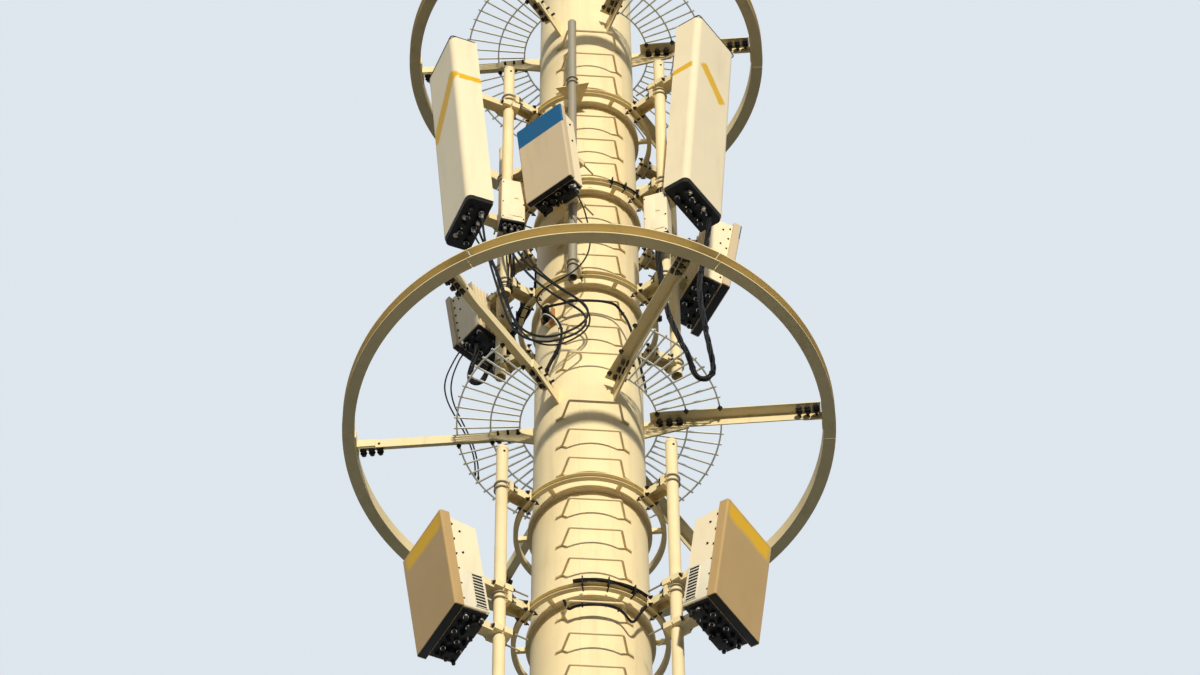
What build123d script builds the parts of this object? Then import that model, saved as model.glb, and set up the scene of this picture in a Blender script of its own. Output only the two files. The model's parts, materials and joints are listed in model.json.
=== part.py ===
from build123d import *
from dataclasses import dataclass
from math import asin, cos, degrees, radians, sin, tan
import os

# Cell tower: a round tapering steel pole that carries two tiers of antennas.
# Each tier is a large ring on six arms with three hoops below it, and the
# mount pipes stand on the hoops. Millimetres, +Z up, origin at the centre of
# the underside of the base flange. Azimuths are degrees counter-clockwise
# from +X, and the side with the climbing rungs faces -Y.

# Pole: one taper from the flange to the top, rolled from plate.
pole_height = 31000
pole_base_radius = 490
pole_top_radius = 324
pole_wall = 10
pole_joints = (10500, 21000)

# Base flange and its ribs.
flange_radius = 700
flange_thickness = 45
anchor_circle_radius = 610
anchor_hole_radius = 23
anchor_count = 16
rib_height = 260
rib_thickness = 16
rib_edge_margin = 25
rib_toe_height = 30

# Pole cap and lightning rod.
cap_overhang = 22
cap_skirt = 60
cap_plate = 12
cap_rise = 70
rod_socket_radius = 32
rod_socket_height = 110
rod_radius = 11
rod_length = 1900
rod_tip_length = 90

# Levels: the upper ring hangs below the pole's top, and the hoops and the mid
# ring follow it down in even steps.
upper_ring_below_top = 2010
upper_pitch = 1121
lower_pitch = 1087
steps_between_rings = 4
hoops_per_ring = 3

# Rings: rolled channel in six lengths, flanges outward.
mid_ring_radius = 1600
upper_ring_radius = 1288
channel_height = 105
channel_depth = 80
channel_web = 6
channel_flange = 8
ring_joint_gap = 6
ring_joint_turn = 5.5

# Arms: angle section, bolted to a rib on the pole and a lug in the ring.
arm_azimuths = (-4, 56, 116, 176, 236, 296)
arm_leg = 80
arm_thickness = 7
arm_inner_radius = 400
arm_end_gap = 14
stub_reach = 290
stub_thickness = 12
stub_root_height = 165
lug_length = 180
lug_height = 78
lug_plate = 8
lug_fin_reach = 120
lug_fin_height = 70
lug_fin_thickness = 10

# Grille: flat mesh of bars on the arms, open between the two front arms.
grille_radii = (450, 640, 860)
grille_bar = 10
grille_tip = 20
grille_gap = 10
grille_seat = 30
grille_bars_per_panel = 6

# Hoops: a channel ring held off a collar by six spacers.
hoop_reach = 118
hoop_height = 50
hoop_depth = 30
hoop_wall = 5
collar_thickness = 28
spacer_width = 20
spacer_height = 38

# Climbing rungs: bent round bar with feet turned out along the pole.
rung_azimuth = 274.4
rung_width = 378
rung_front_width = 312
rung_standoff = 90
rung_bar_radius = 8
rung_foot = 40
rung_seat = 1.5
rung_pitch = 297
rungs_per_group = 3
upper_rung_drop = 278
lower_rung_drop = 287
lower_group_pitch = 1014
rung_hoop_clearance = 100
lowest_rung = 2600

# Mount pipes.
pipe_radius = 38
pipe_wall = 4
pipe_circle_radius = 665
pipe_cap = 8
pipe_top_above_hoop = 400
lower_pipe_end_below_hoop = 230
upper_pipe_end_below_hoop = 120
left_pipe_azimuth = 214.5
right_pipe_azimuth = 321
lower_rear_pipe_azimuth = 88
rear_left_pipe_azimuth = 153
rear_right_pipe_azimuth = 27

# Brackets from a hoop to a mount pipe.
bracket_width = 80
bracket_height = 66
bracket_wall = 6
bracket_end_plate = 10
bracket_end_width = 112
bracket_end_height = 92
bracket_pipe_plate = 14
saddle_depth = 6

# Front pipe: thinner galvanised pipe clamped straight to the upper hoops.
front_pipe_radius = 30
front_pipe_wall = 4
front_pipe_azimuth = 259.5
front_pipe_circle_radius = 540
front_pipe_top_above_hoop = 796
front_pipe_end_below_hoop = 142
front_clamp_width = 90
front_clamp_height = 60

# Panel antennas of the upper tier.
panel_width = 430
panel_depth = 195
panel_length = 1900
panel_corner = 45
panel_cap_length = 34
panel_cap_inset = 6
panel_tilt = 4.8
panel_left_azimuth = 204
panel_left_above_hoop = 398
panel_left_distance = 455
panel_left_clamp_drop = 106
panel_right_azimuth = 324
panel_right_above_hoop = 488
panel_right_distance = 425
panel_right_clamp_drop = 0
panel_clamp_spacing = 1440
connector_radius = 15
connector_sides = 8
connector_length = 42
connector_pitch = 66
connector_row_gap = 75
connectors_per_row = 5

# Active antennas: a flat radome in front of a finned body.
active_width = 480
active_length = 820
active_radome_depth = 64
active_body_depth = 186
active_tilt = 8.6
active_left_azimuth = 210
active_right_azimuth = 326
active_centre_below_hoop = 132
active_face_distance = 487
small_width = 390
small_length = 750
small_radome_depth = 48
small_body_depth = 112
small_tilt = 8.5
small_azimuth = 231
small_centre_below_hoop = 152
small_face_distance = 317
rear_right_distance = 375
rear_right_above_hoop = 97
rear_left_width = 400
rear_left_length = 660
rear_left_radome_depth = 48
rear_left_body_depth = 205
rear_left_azimuth = 133
rear_left_below_hoop = 480
rear_left_distance = 325
radome_corner = 14
body_inset = 20
body_top_slope = 34
fin_count = 13
fin_thickness = 6
fin_depth_share = 0.42

# Antenna clamps: a link on the antenna side of the pipe, a clip behind it.
link_width = 70
link_height = 62
clip_width = 118
clip_height = 52
clip_thickness = 24
clip_split = 6
clamp_share = 0.25
small_clamp_share = 0.33

# Radio units on the left and right pipes of the upper tier.
radio_width = 165
radio_length = 470
radio_depth = 105
radio_gap = 70
radio_corner = 10
radio_lip = 14
radio_left_azimuth = 284
radio_right_azimuth = 253
radio_left_above_lowest = 693
radio_right_above_lowest = 463

# Cable port: oblong collar welded to the pole below the lowest upper hoop,
# closed by a rubber seal.
port_width = 84
port_height = 195
port_wall = 6
port_azimuth = 226.5
port_below_hoop = 227
port_reach = 55
port_rim = 5
port_rim_thickness = 9
port_droop = 6
seal_recess = 10
seal_thickness = 16

# Cables: each route is a row of corners that the tube rounds off.
corner_share = 0.45
thin_cable_diameter = 11
bundle_diameter = 40
port_cable_diameter = 18
port_cable_held = 260
port_cable_forward = 6
tie_gap = 0.3
port_bundle_diameter = 30
hoop_pair_diameter = 30
hoop_pair_start = 258
hoop_pair_end = 313
radio_loop_corners_a = (
    (-528, -575, 25790), (-487, -600, 25638), (-419, -620, 25447), (-319, -630, 25271),
    (-208, -630, 25134), (-104, -630, 25031), (-26, -610, 24969), (-7, -590, 24885),
    (-59, -570, 24814), (-150, -560, 24763), (-254, -550, 24734), (-357, -540, 24760),
    (-448, -540, 24828), (-514, -540, 24962), (-549, -540, 25130), (-583, -550, 25286),
    (-618, -562, 25457), (-648, -552, 25629), (-676, -562, 25805))
radio_loop_corners_b = (
    (-488, -560, 25817), (-448, -570, 25692), (-374, -580, 25526), (-275, -580, 25399),
    (-176, -580, 25283), (-84, -580, 25191), (-13, -560, 25128), (6, -540, 25044),
    (-46, -520, 24961), (-138, -510, 24898), (-241, -500, 24858), (-346, -490, 24884),
    (-437, -480, 24977), (-497, -480, 25112), (-531, -485, 25282), (-566, -500, 25453),
    (-601, -485, 25626), (-643, -475, 25789), (-690, -495, 25930))
radio_loop_corners_c = (
    (-414, -520, 25785), (-349, -518, 25630), (-269, -520, 25498), (-183, -530, 25375),
    (-98, -530, 25272), (-20, -515, 25183), (19, -495, 25080), (-8, -475, 24967),
    (-93, -465, 24882), (-190, -455, 24831), (-294, -445, 24846), (-386, -435, 24928),
    (-458, -432, 25058), (-510, -440, 25205), (-548, -450, 25355), (-582, -452, 25510),
    (-612, -460, 25670), (-655, -455, 25820), (-705, -455, 25945))
# Rows: name, diameter, offset and straight run at the radio's foot, corners,
# straight run at the panel and its connector, counted from the middle one.
radio_loops = (
    ("a", 16, -45, 130, radio_loop_corners_a, 150, 2),
    ("b", 16, 0, 130, radio_loop_corners_b, 100, 1),
    ("c", 12, 45, 122, radio_loop_corners_c, 90, 0))
# From the right panel's front row of connectors down and back to the right radio.
right_loop_connector = 2
right_loop_runs = (120, 130)
right_loop_corners = (
    (800, -500, 25950), (782, -532, 25770), (756, -560, 25562), (729, -590, 25325),
    (730, -615, 25108), (744, -635, 24901), (759, -650, 24703), (773, -660, 24524),
    (788, -665, 24387), (795, -670, 24290), (785, -672, 24200), (751, -674, 24150),
    (699, -680, 24150), (667, -684, 24206), (655, -686, 24290), (635, -688, 24390),
    (600, -685, 24525), (559, -660, 24703), (524, -630, 24900), (502, -600, 25099),
    (493, -570, 25311), (480, -555, 25511))
# From under the front unit, behind its face and aside, to the port.
front_cable_seat = (100, 150)
front_cable_runs = (80, 75)
front_cable_port_offset = 45
front_unit_corners = (
    (-26, -690, 26085), (0, -660, 25950), (20, -640, 25815), (14, -625, 25675),
    (-22, -615, 25555), (-80, -605, 25465), (-150, -590, 25405), (-230, -560, 25382),
    (-300, -510, 25378), (-341, -440, 25382))
# From under the rear left unit down to the outer bar of the mid grille.
hanging_cable_depth = 75
hanging_cable_run = 70
left_hanging_corners_a = (
    (-885, 345, 25840), (-928, 370, 25740), (-962, 390, 25640), (-973, 402, 25527),
    (-950, 412, 25394), (-908, 420, 25273), (-858, 428, 25150), (-812, 430, 25020),
    (-778, 426, 24885), (-757, 420, 24755), (-750, 418, 24660))
left_hanging_corners_b = (
    (-862, 362, 25840), (-897, 385, 25745), (-922, 402, 25645), (-930, 418, 25531),
    (-910, 430, 25398), (-870, 442, 25277), (-825, 452, 25150), (-782, 460, 25020),
    (-752, 462, 24885), (-735, 458, 24755), (-730, 453, 24660))
hanging_cables = (
    ("a", 165, left_hanging_corners_a, (-750, 420)),
    ("b", 125, left_hanging_corners_b, (-730, 455)))
# From under the rear left unit, folded back up to the middle upper hoop.
left_drop_seat = (140, 100)
left_drop_run = 100
left_drop_corners = (
    (-775, 362, 25775), (-812, 410, 25665), (-780, 424, 25612), (-722, 424, 25620),
    (-688, 410, 25705), (-645, 388, 25815), (-592, 366, 25925), (-538, 345, 26022),
    (-475, 335, 26125), (-424, 325, 26250), (-384, 308, 26385), (-356, 290, 26520),
    (-351, 285, 26620))
left_drop_end = (-350, 284)
# From the port to the grille: radius, azimuth and level of each corner.
port_cable_offset = 10
port_bundle_offset = -50
port_cable_run = 45
port_right_places = (
    (470, 231, 25378), (466, 240, 25345), (459, 248.5, 25331))
port_right_falls = (
    (455, 298, 25290), (448, 305, 25215), (441, 311, 25125), (435, 316, 25025),
    (430, 320, 24920), (428, 323, 24815), (445, 324.5, 24700), (450, 325))
port_down_places = (
    (458, 232, 25312), (456, 238.5, 25250), (438, 243.5, 25170), (420, 245.5, 25080),
    (410, 243.5, 24975), (412, 239.5, 24880), (428, 235, 24790), (446, 232, 24690), (450, 231))


def polar(radius, azimuth, level=0):
    """Point at a radius, azimuth and level."""
    return (radius * cos(radians(azimuth)), radius * sin(radians(azimuth)), level)


def frame_at(point, azimuth, tilt=0):
    """Frame with local X outward along the azimuth; a tilt leans its top outward."""
    return Pos(*point) * Rot(0, 0, azimuth) * Rot(0, tilt, 0)


def pole_radius(level):
    """Outer radius of the pole at a level."""
    return pole_base_radius + (pole_top_radius - pole_base_radius) * level / pole_height


def cone_band(low, high, grow=0):
    """Solid slice of the pole between two levels, its radius grown by a margin."""
    low_radius = pole_radius(low) + grow
    high_radius = pole_radius(high) + grow
    outline = Polyline((0, low), (low_radius, low), (high_radius, high), (0, high), close=True)
    return revolve(Plane.XZ * make_face(outline), Axis.Z)


def turned(points, start=0, sweep=360):
    """Solid turned about +Z from a closed outline of (radius, level) points."""
    profile = Plane.XZ * make_face(Polyline(*points, close=True))
    return Rot(0, 0, start) * revolve(profile, Axis.Z, revolution_arc=sweep)


def tube(radius, wall, low, high, cap=0):
    """Upright tube with an open foot and, where a cap is given, a closed top."""
    body = Pos(0, 0, low) * extrude(Circle(radius), high - low)
    bore = Pos(0, 0, low) * extrude(Circle(radius - wall), high - low - cap)
    return body - bore


def save(name, shapes):
    """Write the solids of one node."""
    solids = [solid for shape in shapes for solid in shape.solids()]
    export_step(Compound(children=solids), f"parts/{name}.step")


# Levels of the rings, hoops and cable port, and where the pipes stand.
upper_ring_level = pole_height - upper_ring_below_top
ring_level = upper_ring_level - steps_between_rings * upper_pitch
upper_hoop_levels = [upper_ring_level - step * upper_pitch for step in range(1, hoops_per_ring + 1)]
lower_hoop_levels = [ring_level - step * lower_pitch for step in range(1, hoops_per_ring + 1)]
port_level = min(upper_hoop_levels) - port_below_hoop
lower_pipe_azimuths = (left_pipe_azimuth, right_pipe_azimuth, lower_rear_pipe_azimuth)
upper_pipe_azimuths = (left_pipe_azimuth, right_pipe_azimuth,
                       rear_left_pipe_azimuth, rear_right_pipe_azimuth)


def base_flange():
    """Round plate with the anchor-bolt holes."""
    plate = extrude(Circle(flange_radius), flange_thickness)
    hole = extrude(Circle(anchor_hole_radius), flange_thickness)
    spots = PolarLocations(anchor_circle_radius, anchor_count)
    return plate - [spot * hole for spot in spots]


def base_ribs():
    """Tapered ribs between the anchor holes, cut to the pole."""
    top = flange_thickness + rib_height
    toe = flange_radius - rib_edge_margin
    heel = pole_base_radius - pole_wall
    outline = Polyline((heel, flange_thickness), (toe, flange_thickness),
                       (toe, flange_thickness + rib_toe_height),
                       (pole_base_radius + rib_edge_margin, top), (heel, top), close=True)
    blank = extrude(Plane.XZ * make_face(outline), rib_thickness / 2, both=True)
    rib = blank - cone_band(flange_thickness, top)
    step = 360 / anchor_count
    return [Rot(0, 0, step * (index + 0.5)) * rib for index in range(anchor_count)]


def pole_section(low, high):
    """Length of the hollow pole between two levels."""
    return cone_band(low, high) - cone_band(low, high, -pole_wall)


def pole_cap():
    """Low conical lid whose skirt laps over the top of the pole."""
    outer = pole_top_radius + cap_overhang
    skirt_foot = pole_height - cap_skirt
    lid = turned([(0, pole_height), (outer, pole_height), (outer, pole_height + cap_plate),
                  (rod_socket_radius, pole_height + cap_rise), (0, pole_height + cap_rise)])
    skirt = turned([(pole_radius(skirt_foot), skirt_foot), (outer, skirt_foot),
                    (outer, pole_height), (pole_top_radius, pole_height)])
    socket = Pos(0, 0, pole_height + cap_rise) * extrude(Circle(rod_socket_radius), rod_socket_height)
    rod_hole = Pos(0, 0, pole_height + cap_rise) * extrude(Circle(rod_radius), rod_socket_height)
    return lid + skirt + socket - rod_hole


def lightning_rod():
    """Pointed rod standing in the socket of the cap."""
    foot = pole_height + cap_rise
    shoulder = foot + rod_length - rod_tip_length
    return turned([(0, foot), (rod_radius, foot), (rod_radius, shoulder), (0, foot + rod_length)])


def ring_lengths(radius, level):
    """Six lengths of outward channel with a narrow joint between them."""
    inner = radius - channel_depth
    low = level - channel_height / 2
    high = level + channel_height / 2
    outline = [(inner, low), (radius, low), (radius, low + channel_flange),
               (inner + channel_web, low + channel_flange), (inner + channel_web, high - channel_flange),
               (radius, high - channel_flange), (radius, high), (inner, high)]
    gap = degrees(ring_joint_gap / radius)
    sweep = 360 / len(arm_azimuths) - gap
    return [turned(outline, azimuth + ring_joint_turn + gap / 2, sweep) for azimuth in arm_azimuths]


def ring_arms(radius, level):
    """Angle-section arms: one leg upright against rib and lug, one flat on top."""
    outer = radius - channel_depth - arm_end_gap
    low = level - arm_leg / 2
    upright = Pos(arm_inner_radius, -arm_thickness, low) * Box(
        outer - arm_inner_radius, arm_thickness, arm_leg, align=Align.MIN)
    flat = Pos(arm_inner_radius, -arm_leg, low + arm_leg - arm_thickness) * Box(
        outer - arm_inner_radius, arm_leg, arm_thickness, align=Align.MIN)
    return [Rot(0, 0, azimuth) * (upright + flat) for azimuth in arm_azimuths]


def arm_stubs(level):
    """Tapered plates on the pole that the arms bolt to."""
    surface = pole_radius(level)
    tip = surface + stub_reach
    root = surface - pole_wall
    top = level + arm_leg / 2
    outline = Polyline((root, top - stub_root_height), (tip, top - arm_leg), (tip, top),
                       (root, top), close=True)
    blank = extrude(Plane.XZ * make_face(outline), -stub_thickness)
    plate = blank - cone_band(level - stub_root_height, level + stub_root_height)
    return [Rot(0, 0, azimuth) * plate for azimuth in arm_azimuths]


def arm_lugs(radius, level):
    """Curved plates on the inside of the ring web, each with a fin for the arm."""
    web = radius - channel_depth
    low = level - lug_height / 2
    half_turn = degrees(lug_length / 2 / web)
    backing = turned([(web - lug_plate, low), (web, low), (web, low + lug_height),
                      (web - lug_plate, low + lug_height)], -half_turn, 2 * half_turn)
    fin_inner = web - lug_plate - lug_fin_reach
    fin = Pos(fin_inner, 0, level - lug_fin_height / 2) * Box(
        web - lug_plate / 2 - fin_inner, lug_fin_thickness, lug_fin_height, align=Align.MIN)
    return [Rot(0, 0, azimuth) * (backing + fin) for azimuth in arm_azimuths]


def grille_panel(start, end):
    """Flat sector of curved and radial bars between two azimuths."""
    low_radius, high_radius = grille_radii[0], grille_radii[-1]
    sweep = end - start
    half = grille_bar / 2
    panel = Part()
    for radius in grille_radii:
        panel += turned([(radius - half, 0), (radius + half, 0),
                         (radius + half, grille_bar), (radius - half, grille_bar)], start, sweep)
    inset = degrees(half / low_radius)
    reach = high_radius - low_radius + half + grille_tip
    for index in range(grille_bars_per_panel):
        turn = start + inset + (sweep - 2 * inset) * index / (grille_bars_per_panel - 1)
        bar = Pos(low_radius - half, -half, 0) * Box(reach, grille_bar, grille_bar, align=Align.MIN)
        panel += Rot(0, 0, turn) * bar
    return panel


def grille(level):
    """Five panels resting on the arms, none between the two front arms."""
    seat = level + arm_leg / 2
    edge = degrees(asin(grille_seat / grille_radii[0]))
    gap = degrees(grille_gap / 2 / grille_radii[0])
    ordered = sorted(azimuth % 360 for azimuth in arm_azimuths)
    panels = []
    for first, second in zip(ordered, ordered[1:] + [ordered[0] + 360]):
        if first < rung_azimuth < second:
            continue
        panels.append(Pos(0, 0, seat) * grille_panel(first - edge + gap, second - edge - gap))
    return panels


def hoop(level):
    """Channel ring around the pole, welded to a collar by six spacers."""
    outer = pole_radius(level) + hoop_reach
    inner = outer - hoop_depth
    low, high = level - hoop_height / 2, level + hoop_height / 2
    channel = turned([(inner, low), (outer, low), (outer, low + hoop_wall),
                      (inner + hoop_wall, low + hoop_wall), (inner + hoop_wall, high - hoop_wall),
                      (outer, high - hoop_wall), (outer, high), (inner, high)])
    collar_outer = pole_radius(level) + collar_thickness
    collar = turned([(pole_radius(low), low), (collar_outer, low),
                     (collar_outer, high), (pole_radius(high), high)])
    block = Pos(collar_outer - hoop_wall, 0, level) * Box(
        inner - collar_outer + 1.5 * hoop_wall, spacer_width, spacer_height,
        align=(Align.MIN, Align.CENTER, Align.CENTER))
    return channel + collar + [Rot(0, 0, azimuth) * block for azimuth in arm_azimuths]


def rung(level):
    """Bent bar with its feet turned out along the pole and cut to seat on it."""
    surface = pole_radius(level)
    half = rung_width / 2
    slope = asin((half + rung_foot / 2) / surface)
    seat = surface + rung_bar_radius - rung_seat
    middle = (seat * cos(slope), seat * sin(slope))
    knee = (middle[0] + (middle[1] - half) * tan(slope), half)
    toe = (middle[0] - (half + rung_foot - middle[1]) * tan(slope), half + rung_foot)
    corner = (surface + rung_standoff, rung_front_width / 2)
    right = [toe, knee, corner]
    left = [(x, -y) for x, y in reversed(right)]
    outline = trace(Polyline(*right, *left), 2 * rung_bar_radius)
    bar = Pos(0, 0, level) * extrude(outline, rung_bar_radius, both=True)
    return Rot(0, 0, rung_azimuth) * (bar - cone_band(level - rung_standoff, level + rung_standoff))


def rung_levels():
    """Levels of all rungs, in groups of three, none of them at a hoop."""
    tops = [upper_ring_level - upper_rung_drop - step * upper_pitch for step in range(steps_between_rings)]
    top = ring_level - lower_rung_drop
    while top > lowest_rung:
        tops.append(top)
        top -= lower_group_pitch
    levels = [top - index * rung_pitch for top in tops for index in range(rungs_per_group)]
    hoops = upper_hoop_levels + lower_hoop_levels
    return sorted(level for level in levels if level > lowest_rung
                  and all(abs(level - hoop) > rung_hoop_clearance for hoop in hoops))


def pipe_place(azimuth):
    """Centre of a mount pipe."""
    return polar(pipe_circle_radius, azimuth)


def mount_pipes(azimuths, levels, end_below_hoop):
    """Upright pipes that pass all three hoops of a tier."""
    low = min(levels) - end_below_hoop
    high = max(levels) + pipe_top_above_hoop
    return [Pos(*pipe_place(azimuth)) * tube(pipe_radius, pipe_wall, low, high, pipe_cap)
            for azimuth in azimuths]


def pipe_bracket(azimuth, level):
    """Channel bracket seated on the hoop at one end and on the pipe at the other."""
    hoop_outer = pole_radius(level) + hoop_reach
    pipe_face = pipe_circle_radius - pipe_radius
    end = Pos(hoop_outer - saddle_depth, 0, level) * Box(
        bracket_end_plate + saddle_depth, bracket_end_width, bracket_end_height,
        align=(Align.MIN, Align.CENTER, Align.CENTER))
    start = hoop_outer + bracket_end_plate / 2
    seat = pipe_face - bracket_pipe_plate + saddle_depth
    length = seat - start
    arm = Pos(start, 0, level) * Box(
        length, bracket_width, bracket_height, align=(Align.MIN, Align.CENTER, Align.CENTER))
    hollow = Pos(start, 0, level - bracket_wall) * Box(
        length, bracket_width - 2 * bracket_wall, bracket_height,
        align=(Align.MIN, Align.CENTER, Align.CENTER))
    saddle = Pos(seat - bracket_pipe_plate / 2, 0, level) * Box(
        bracket_pipe_plate * 1.5 + saddle_depth, bracket_end_width, bracket_end_height,
        align=(Align.MIN, Align.CENTER, Align.CENTER))
    pole_side = Pos(0, 0, level - bracket_end_height) * extrude(Circle(hoop_outer), 2 * bracket_end_height)
    pipe = Pos(pipe_circle_radius, 0, level - bracket_end_height) * extrude(
        Circle(pipe_radius), 2 * bracket_end_height)
    return Rot(0, 0, azimuth) * (((arm - hollow) + end + saddle) - pole_side - pipe)


def front_clamp(level):
    """Block that fills the gap from a hoop to the front pipe."""
    hoop_outer = pole_radius(level) + hoop_reach
    start = hoop_outer - saddle_depth
    block = Pos(start, 0, level) * Box(
        front_pipe_circle_radius - start, front_clamp_width, front_clamp_height,
        align=(Align.MIN, Align.CENTER, Align.CENTER))
    pole_side = Pos(0, 0, level - front_clamp_height) * extrude(Circle(hoop_outer), 2 * front_clamp_height)
    pipe = Pos(front_pipe_circle_radius, 0, level - front_clamp_height) * extrude(
        Circle(front_pipe_radius), 2 * front_clamp_height)
    return Rot(0, 0, front_pipe_azimuth) * (block - pole_side - pipe)


def upright_block(depth, width, length, corner):
    """Block behind its front face, with the upright edges of that face rounded."""
    outline = Pos(-depth / 2, 0) * Rectangle(depth, width)
    front = outline.vertices().group_by(Axis.X)[-1]
    outline = fillet(front, corner)
    return Pos(0, 0, -length / 2) * extrude(outline, length)


def face_frame(pipe, azimuth, level, distance, tilt):
    """Frame at the middle of an antenna face that looks along its azimuth."""
    reach = polar(distance, azimuth)
    return frame_at((pipe[0] + reach[0], pipe[1] + reach[1], level), azimuth, tilt)


def clamp_set(pipe, radius, azimuth, levels, distance, envelope):
    """Clamp halves around a pipe, the front one with a link to the antenna's back."""
    pieces = []
    for level in levels:
        place = frame_at((pipe[0], pipe[1], level), azimuth)
        bore = Pos(pipe[0], pipe[1], level - clip_height) * extrude(Circle(radius), 2 * clip_height)
        half = Pos(clip_split, 0, 0) * Box(radius + clip_thickness - clip_split, clip_width, clip_height,
                                           align=(Align.MIN, Align.CENTER, Align.CENTER))
        link = Pos(radius, 0, 0) * Box(distance - radius, link_width, link_height,
                                       align=(Align.MIN, Align.CENTER, Align.CENTER))
        pieces.append(place * (half + link) - bore - envelope)
        pieces.append(place * Rot(0, 0, 180) * half - bore)
    return pieces


def panel_radome():
    """Tall rounded cover of a panel antenna, face at x = 0."""
    return upright_block(panel_depth, panel_width, panel_length, panel_corner)


def panel_end_cap():
    """Inset foot of a panel antenna with its rows of connectors."""
    foot = -panel_length / 2
    cap = Pos(-panel_cap_inset, 0, foot - panel_cap_length / 2) * upright_block(
        panel_depth - 2 * panel_cap_inset, panel_width - 2 * panel_cap_inset,
        panel_cap_length, panel_corner - panel_cap_inset)
    rows = GridLocations(connector_row_gap, connector_pitch, 2, connectors_per_row)
    stud = extrude(RegularPolygon(connector_radius, connector_sides), -connector_length)
    base = Pos(-panel_depth / 2, 0, foot - panel_cap_length)
    return cap + [base * spot * stud for spot in rows]


def active_radome(width, length, depth):
    """Flat cover of an active antenna, face at x = 0."""
    return upright_block(depth, width, length, radome_corner)


def active_body(width, length, radome_depth, body_depth):
    """Cast body behind the radome: a core with upright cooling fins at its back."""
    body_width = width - 2 * body_inset
    core_depth = body_depth * (1 - fin_depth_share)
    core_back = -radome_depth - core_depth
    fin_back = -radome_depth - body_depth
    pitch = (body_width - fin_thickness) / (fin_count - 1)
    outline = [(-radome_depth, body_width / 2), (-radome_depth, -body_width / 2)]
    for index in range(fin_count):
        low = -body_width / 2 + pitch * index
        outline += [(fin_back, low), (fin_back, low + fin_thickness)]
        if index < fin_count - 1:
            outline += [(core_back, low + fin_thickness), (core_back, low + pitch)]
    body_length = length - 2 * body_inset
    comb = Pos(0, 0, -body_length / 2) * extrude(make_face(Polyline(*outline, close=True)), body_length)
    top = body_length / 2
    slope = Polyline((-radome_depth, top), (fin_back, top), (fin_back, top - body_top_slope), close=True)
    return comb - extrude(Plane.XZ * make_face(slope), width, both=True)


def radio_unit(place):
    """Radio box with a rounded front and a raised foot for its connectors."""
    case = upright_block(radio_depth, radio_width, radio_length, radio_corner)
    foot = Pos(-radio_lip, 0, -radio_length / 2 - radio_lip / 2) * upright_block(
        radio_depth - 2 * radio_lip, radio_width - 2 * radio_lip, radio_lip, radio_corner / 2)
    return place * (case + foot)


def oblong(grow, start, end):
    """Bar with the port's outline, grown all round, between two reaches from the pole."""
    place = frame_at(polar(pole_radius(port_level), port_azimuth, port_level), port_azimuth, port_droop)
    outline = Plane.YZ * SlotOverall(port_height + 2 * grow, port_width + 2 * grow, rotation=90)
    return place * Pos(start, 0, 0) * extrude(outline, end - start)


def cable_port():
    """Drooping oblong collar with a rim, cut to the pole it is welded to."""
    collar = oblong(0, -port_reach, port_reach)
    rim = oblong(port_rim, port_reach - port_rim_thickness, port_reach)
    bore = oblong(-port_wall, -port_reach, port_reach)
    return collar + rim - bore - cone_band(port_level - port_height, port_level + port_height)


def port_seal():
    """Rubber plug set back in the mouth of the collar."""
    face = port_reach - seal_recess
    return oblong(-port_wall, face - seal_thickness, face)


def seal_seat(offset):
    """Frame on the seal's face whose -Z looks out of the port."""
    place = frame_at(polar(pole_radius(port_level), port_azimuth, port_level), port_azimuth, port_droop)
    return place * Pos(port_reach - seal_recess, 0, offset) * Rot(0, -90, 0)


def leaving(seat, run):
    """Seat on a face and the first corner straight out from it, along -Z of the seat."""
    return [seat.position, (seat * Pos(0, 0, -run)).position]


def cable(name, diameter, corners):
    """Tube along straight runs joined by tangent arcs; prints its length and radii."""
    corners = [Vector(*corner) for corner in corners]
    runs = [after - before for before, after in zip(corners, corners[1:])]
    radii = [corner_share * min(first.length, second.length) / tan(radians(first.get_angle(second)) / 2)
             for first, second in zip(runs, runs[1:])]
    path = FilletPolyline(*corners, radius=radii)
    print(name, "length", round(path.length), "radii", [round(radius) for radius in radii])
    return sweep(Plane(path @ 0, z_dir=path % 0) * Circle(diameter / 2), path)


def hoop_bundle(level):
    """Bundle tied along the front of a hoop, against the edge of its top flange."""
    radius = pole_radius(level) + hoop_reach + hoop_pair_diameter / 2
    flange = level + hoop_height / 2 - hoop_wall / 2
    section = Plane.XZ * Pos(radius, flange) * Circle(hoop_pair_diameter / 2)
    return Rot(0, 0, hoop_pair_start) * revolve(
        section, Axis.Z, revolution_arc=hoop_pair_end - hoop_pair_start)


os.makedirs("parts", exist_ok=True)

save("base_flange", [base_flange()])
save("base_ribs", base_ribs())
section_ends = [flange_thickness, *pole_joints, pole_height]
for name, low, high in zip(("lower", "middle", "upper"), section_ends, section_ends[1:]):
    save(f"pole_{name}_section", [pole_section(low, high)])
save("pole_cap", [pole_cap()])
save("lightning_rod", [lightning_rod()])

levels = rung_levels()
tier_foot = min(lower_hoop_levels)
save("shaft_rungs", [rung(level) for level in levels if level < tier_foot])
save("lower_tier_rungs", [rung(level) for level in levels if tier_foot < level < ring_level])
save("upper_tier_rungs", [rung(level) for level in levels if level > ring_level])

for name, radius, level in (("mid", mid_ring_radius, ring_level),
                            ("upper", upper_ring_radius, upper_ring_level)):
    arm_level = level + (channel_height - arm_leg) / 2
    save(f"{name}_ring", ring_lengths(radius, level))
    save(f"{name}_ring_arms", ring_arms(radius, arm_level))
    save(f"{name}_arm_stubs", arm_stubs(arm_level))
    save(f"{name}_arm_lugs", arm_lugs(radius, arm_level))
    save(f"{name}_grille", grille(arm_level))

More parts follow.
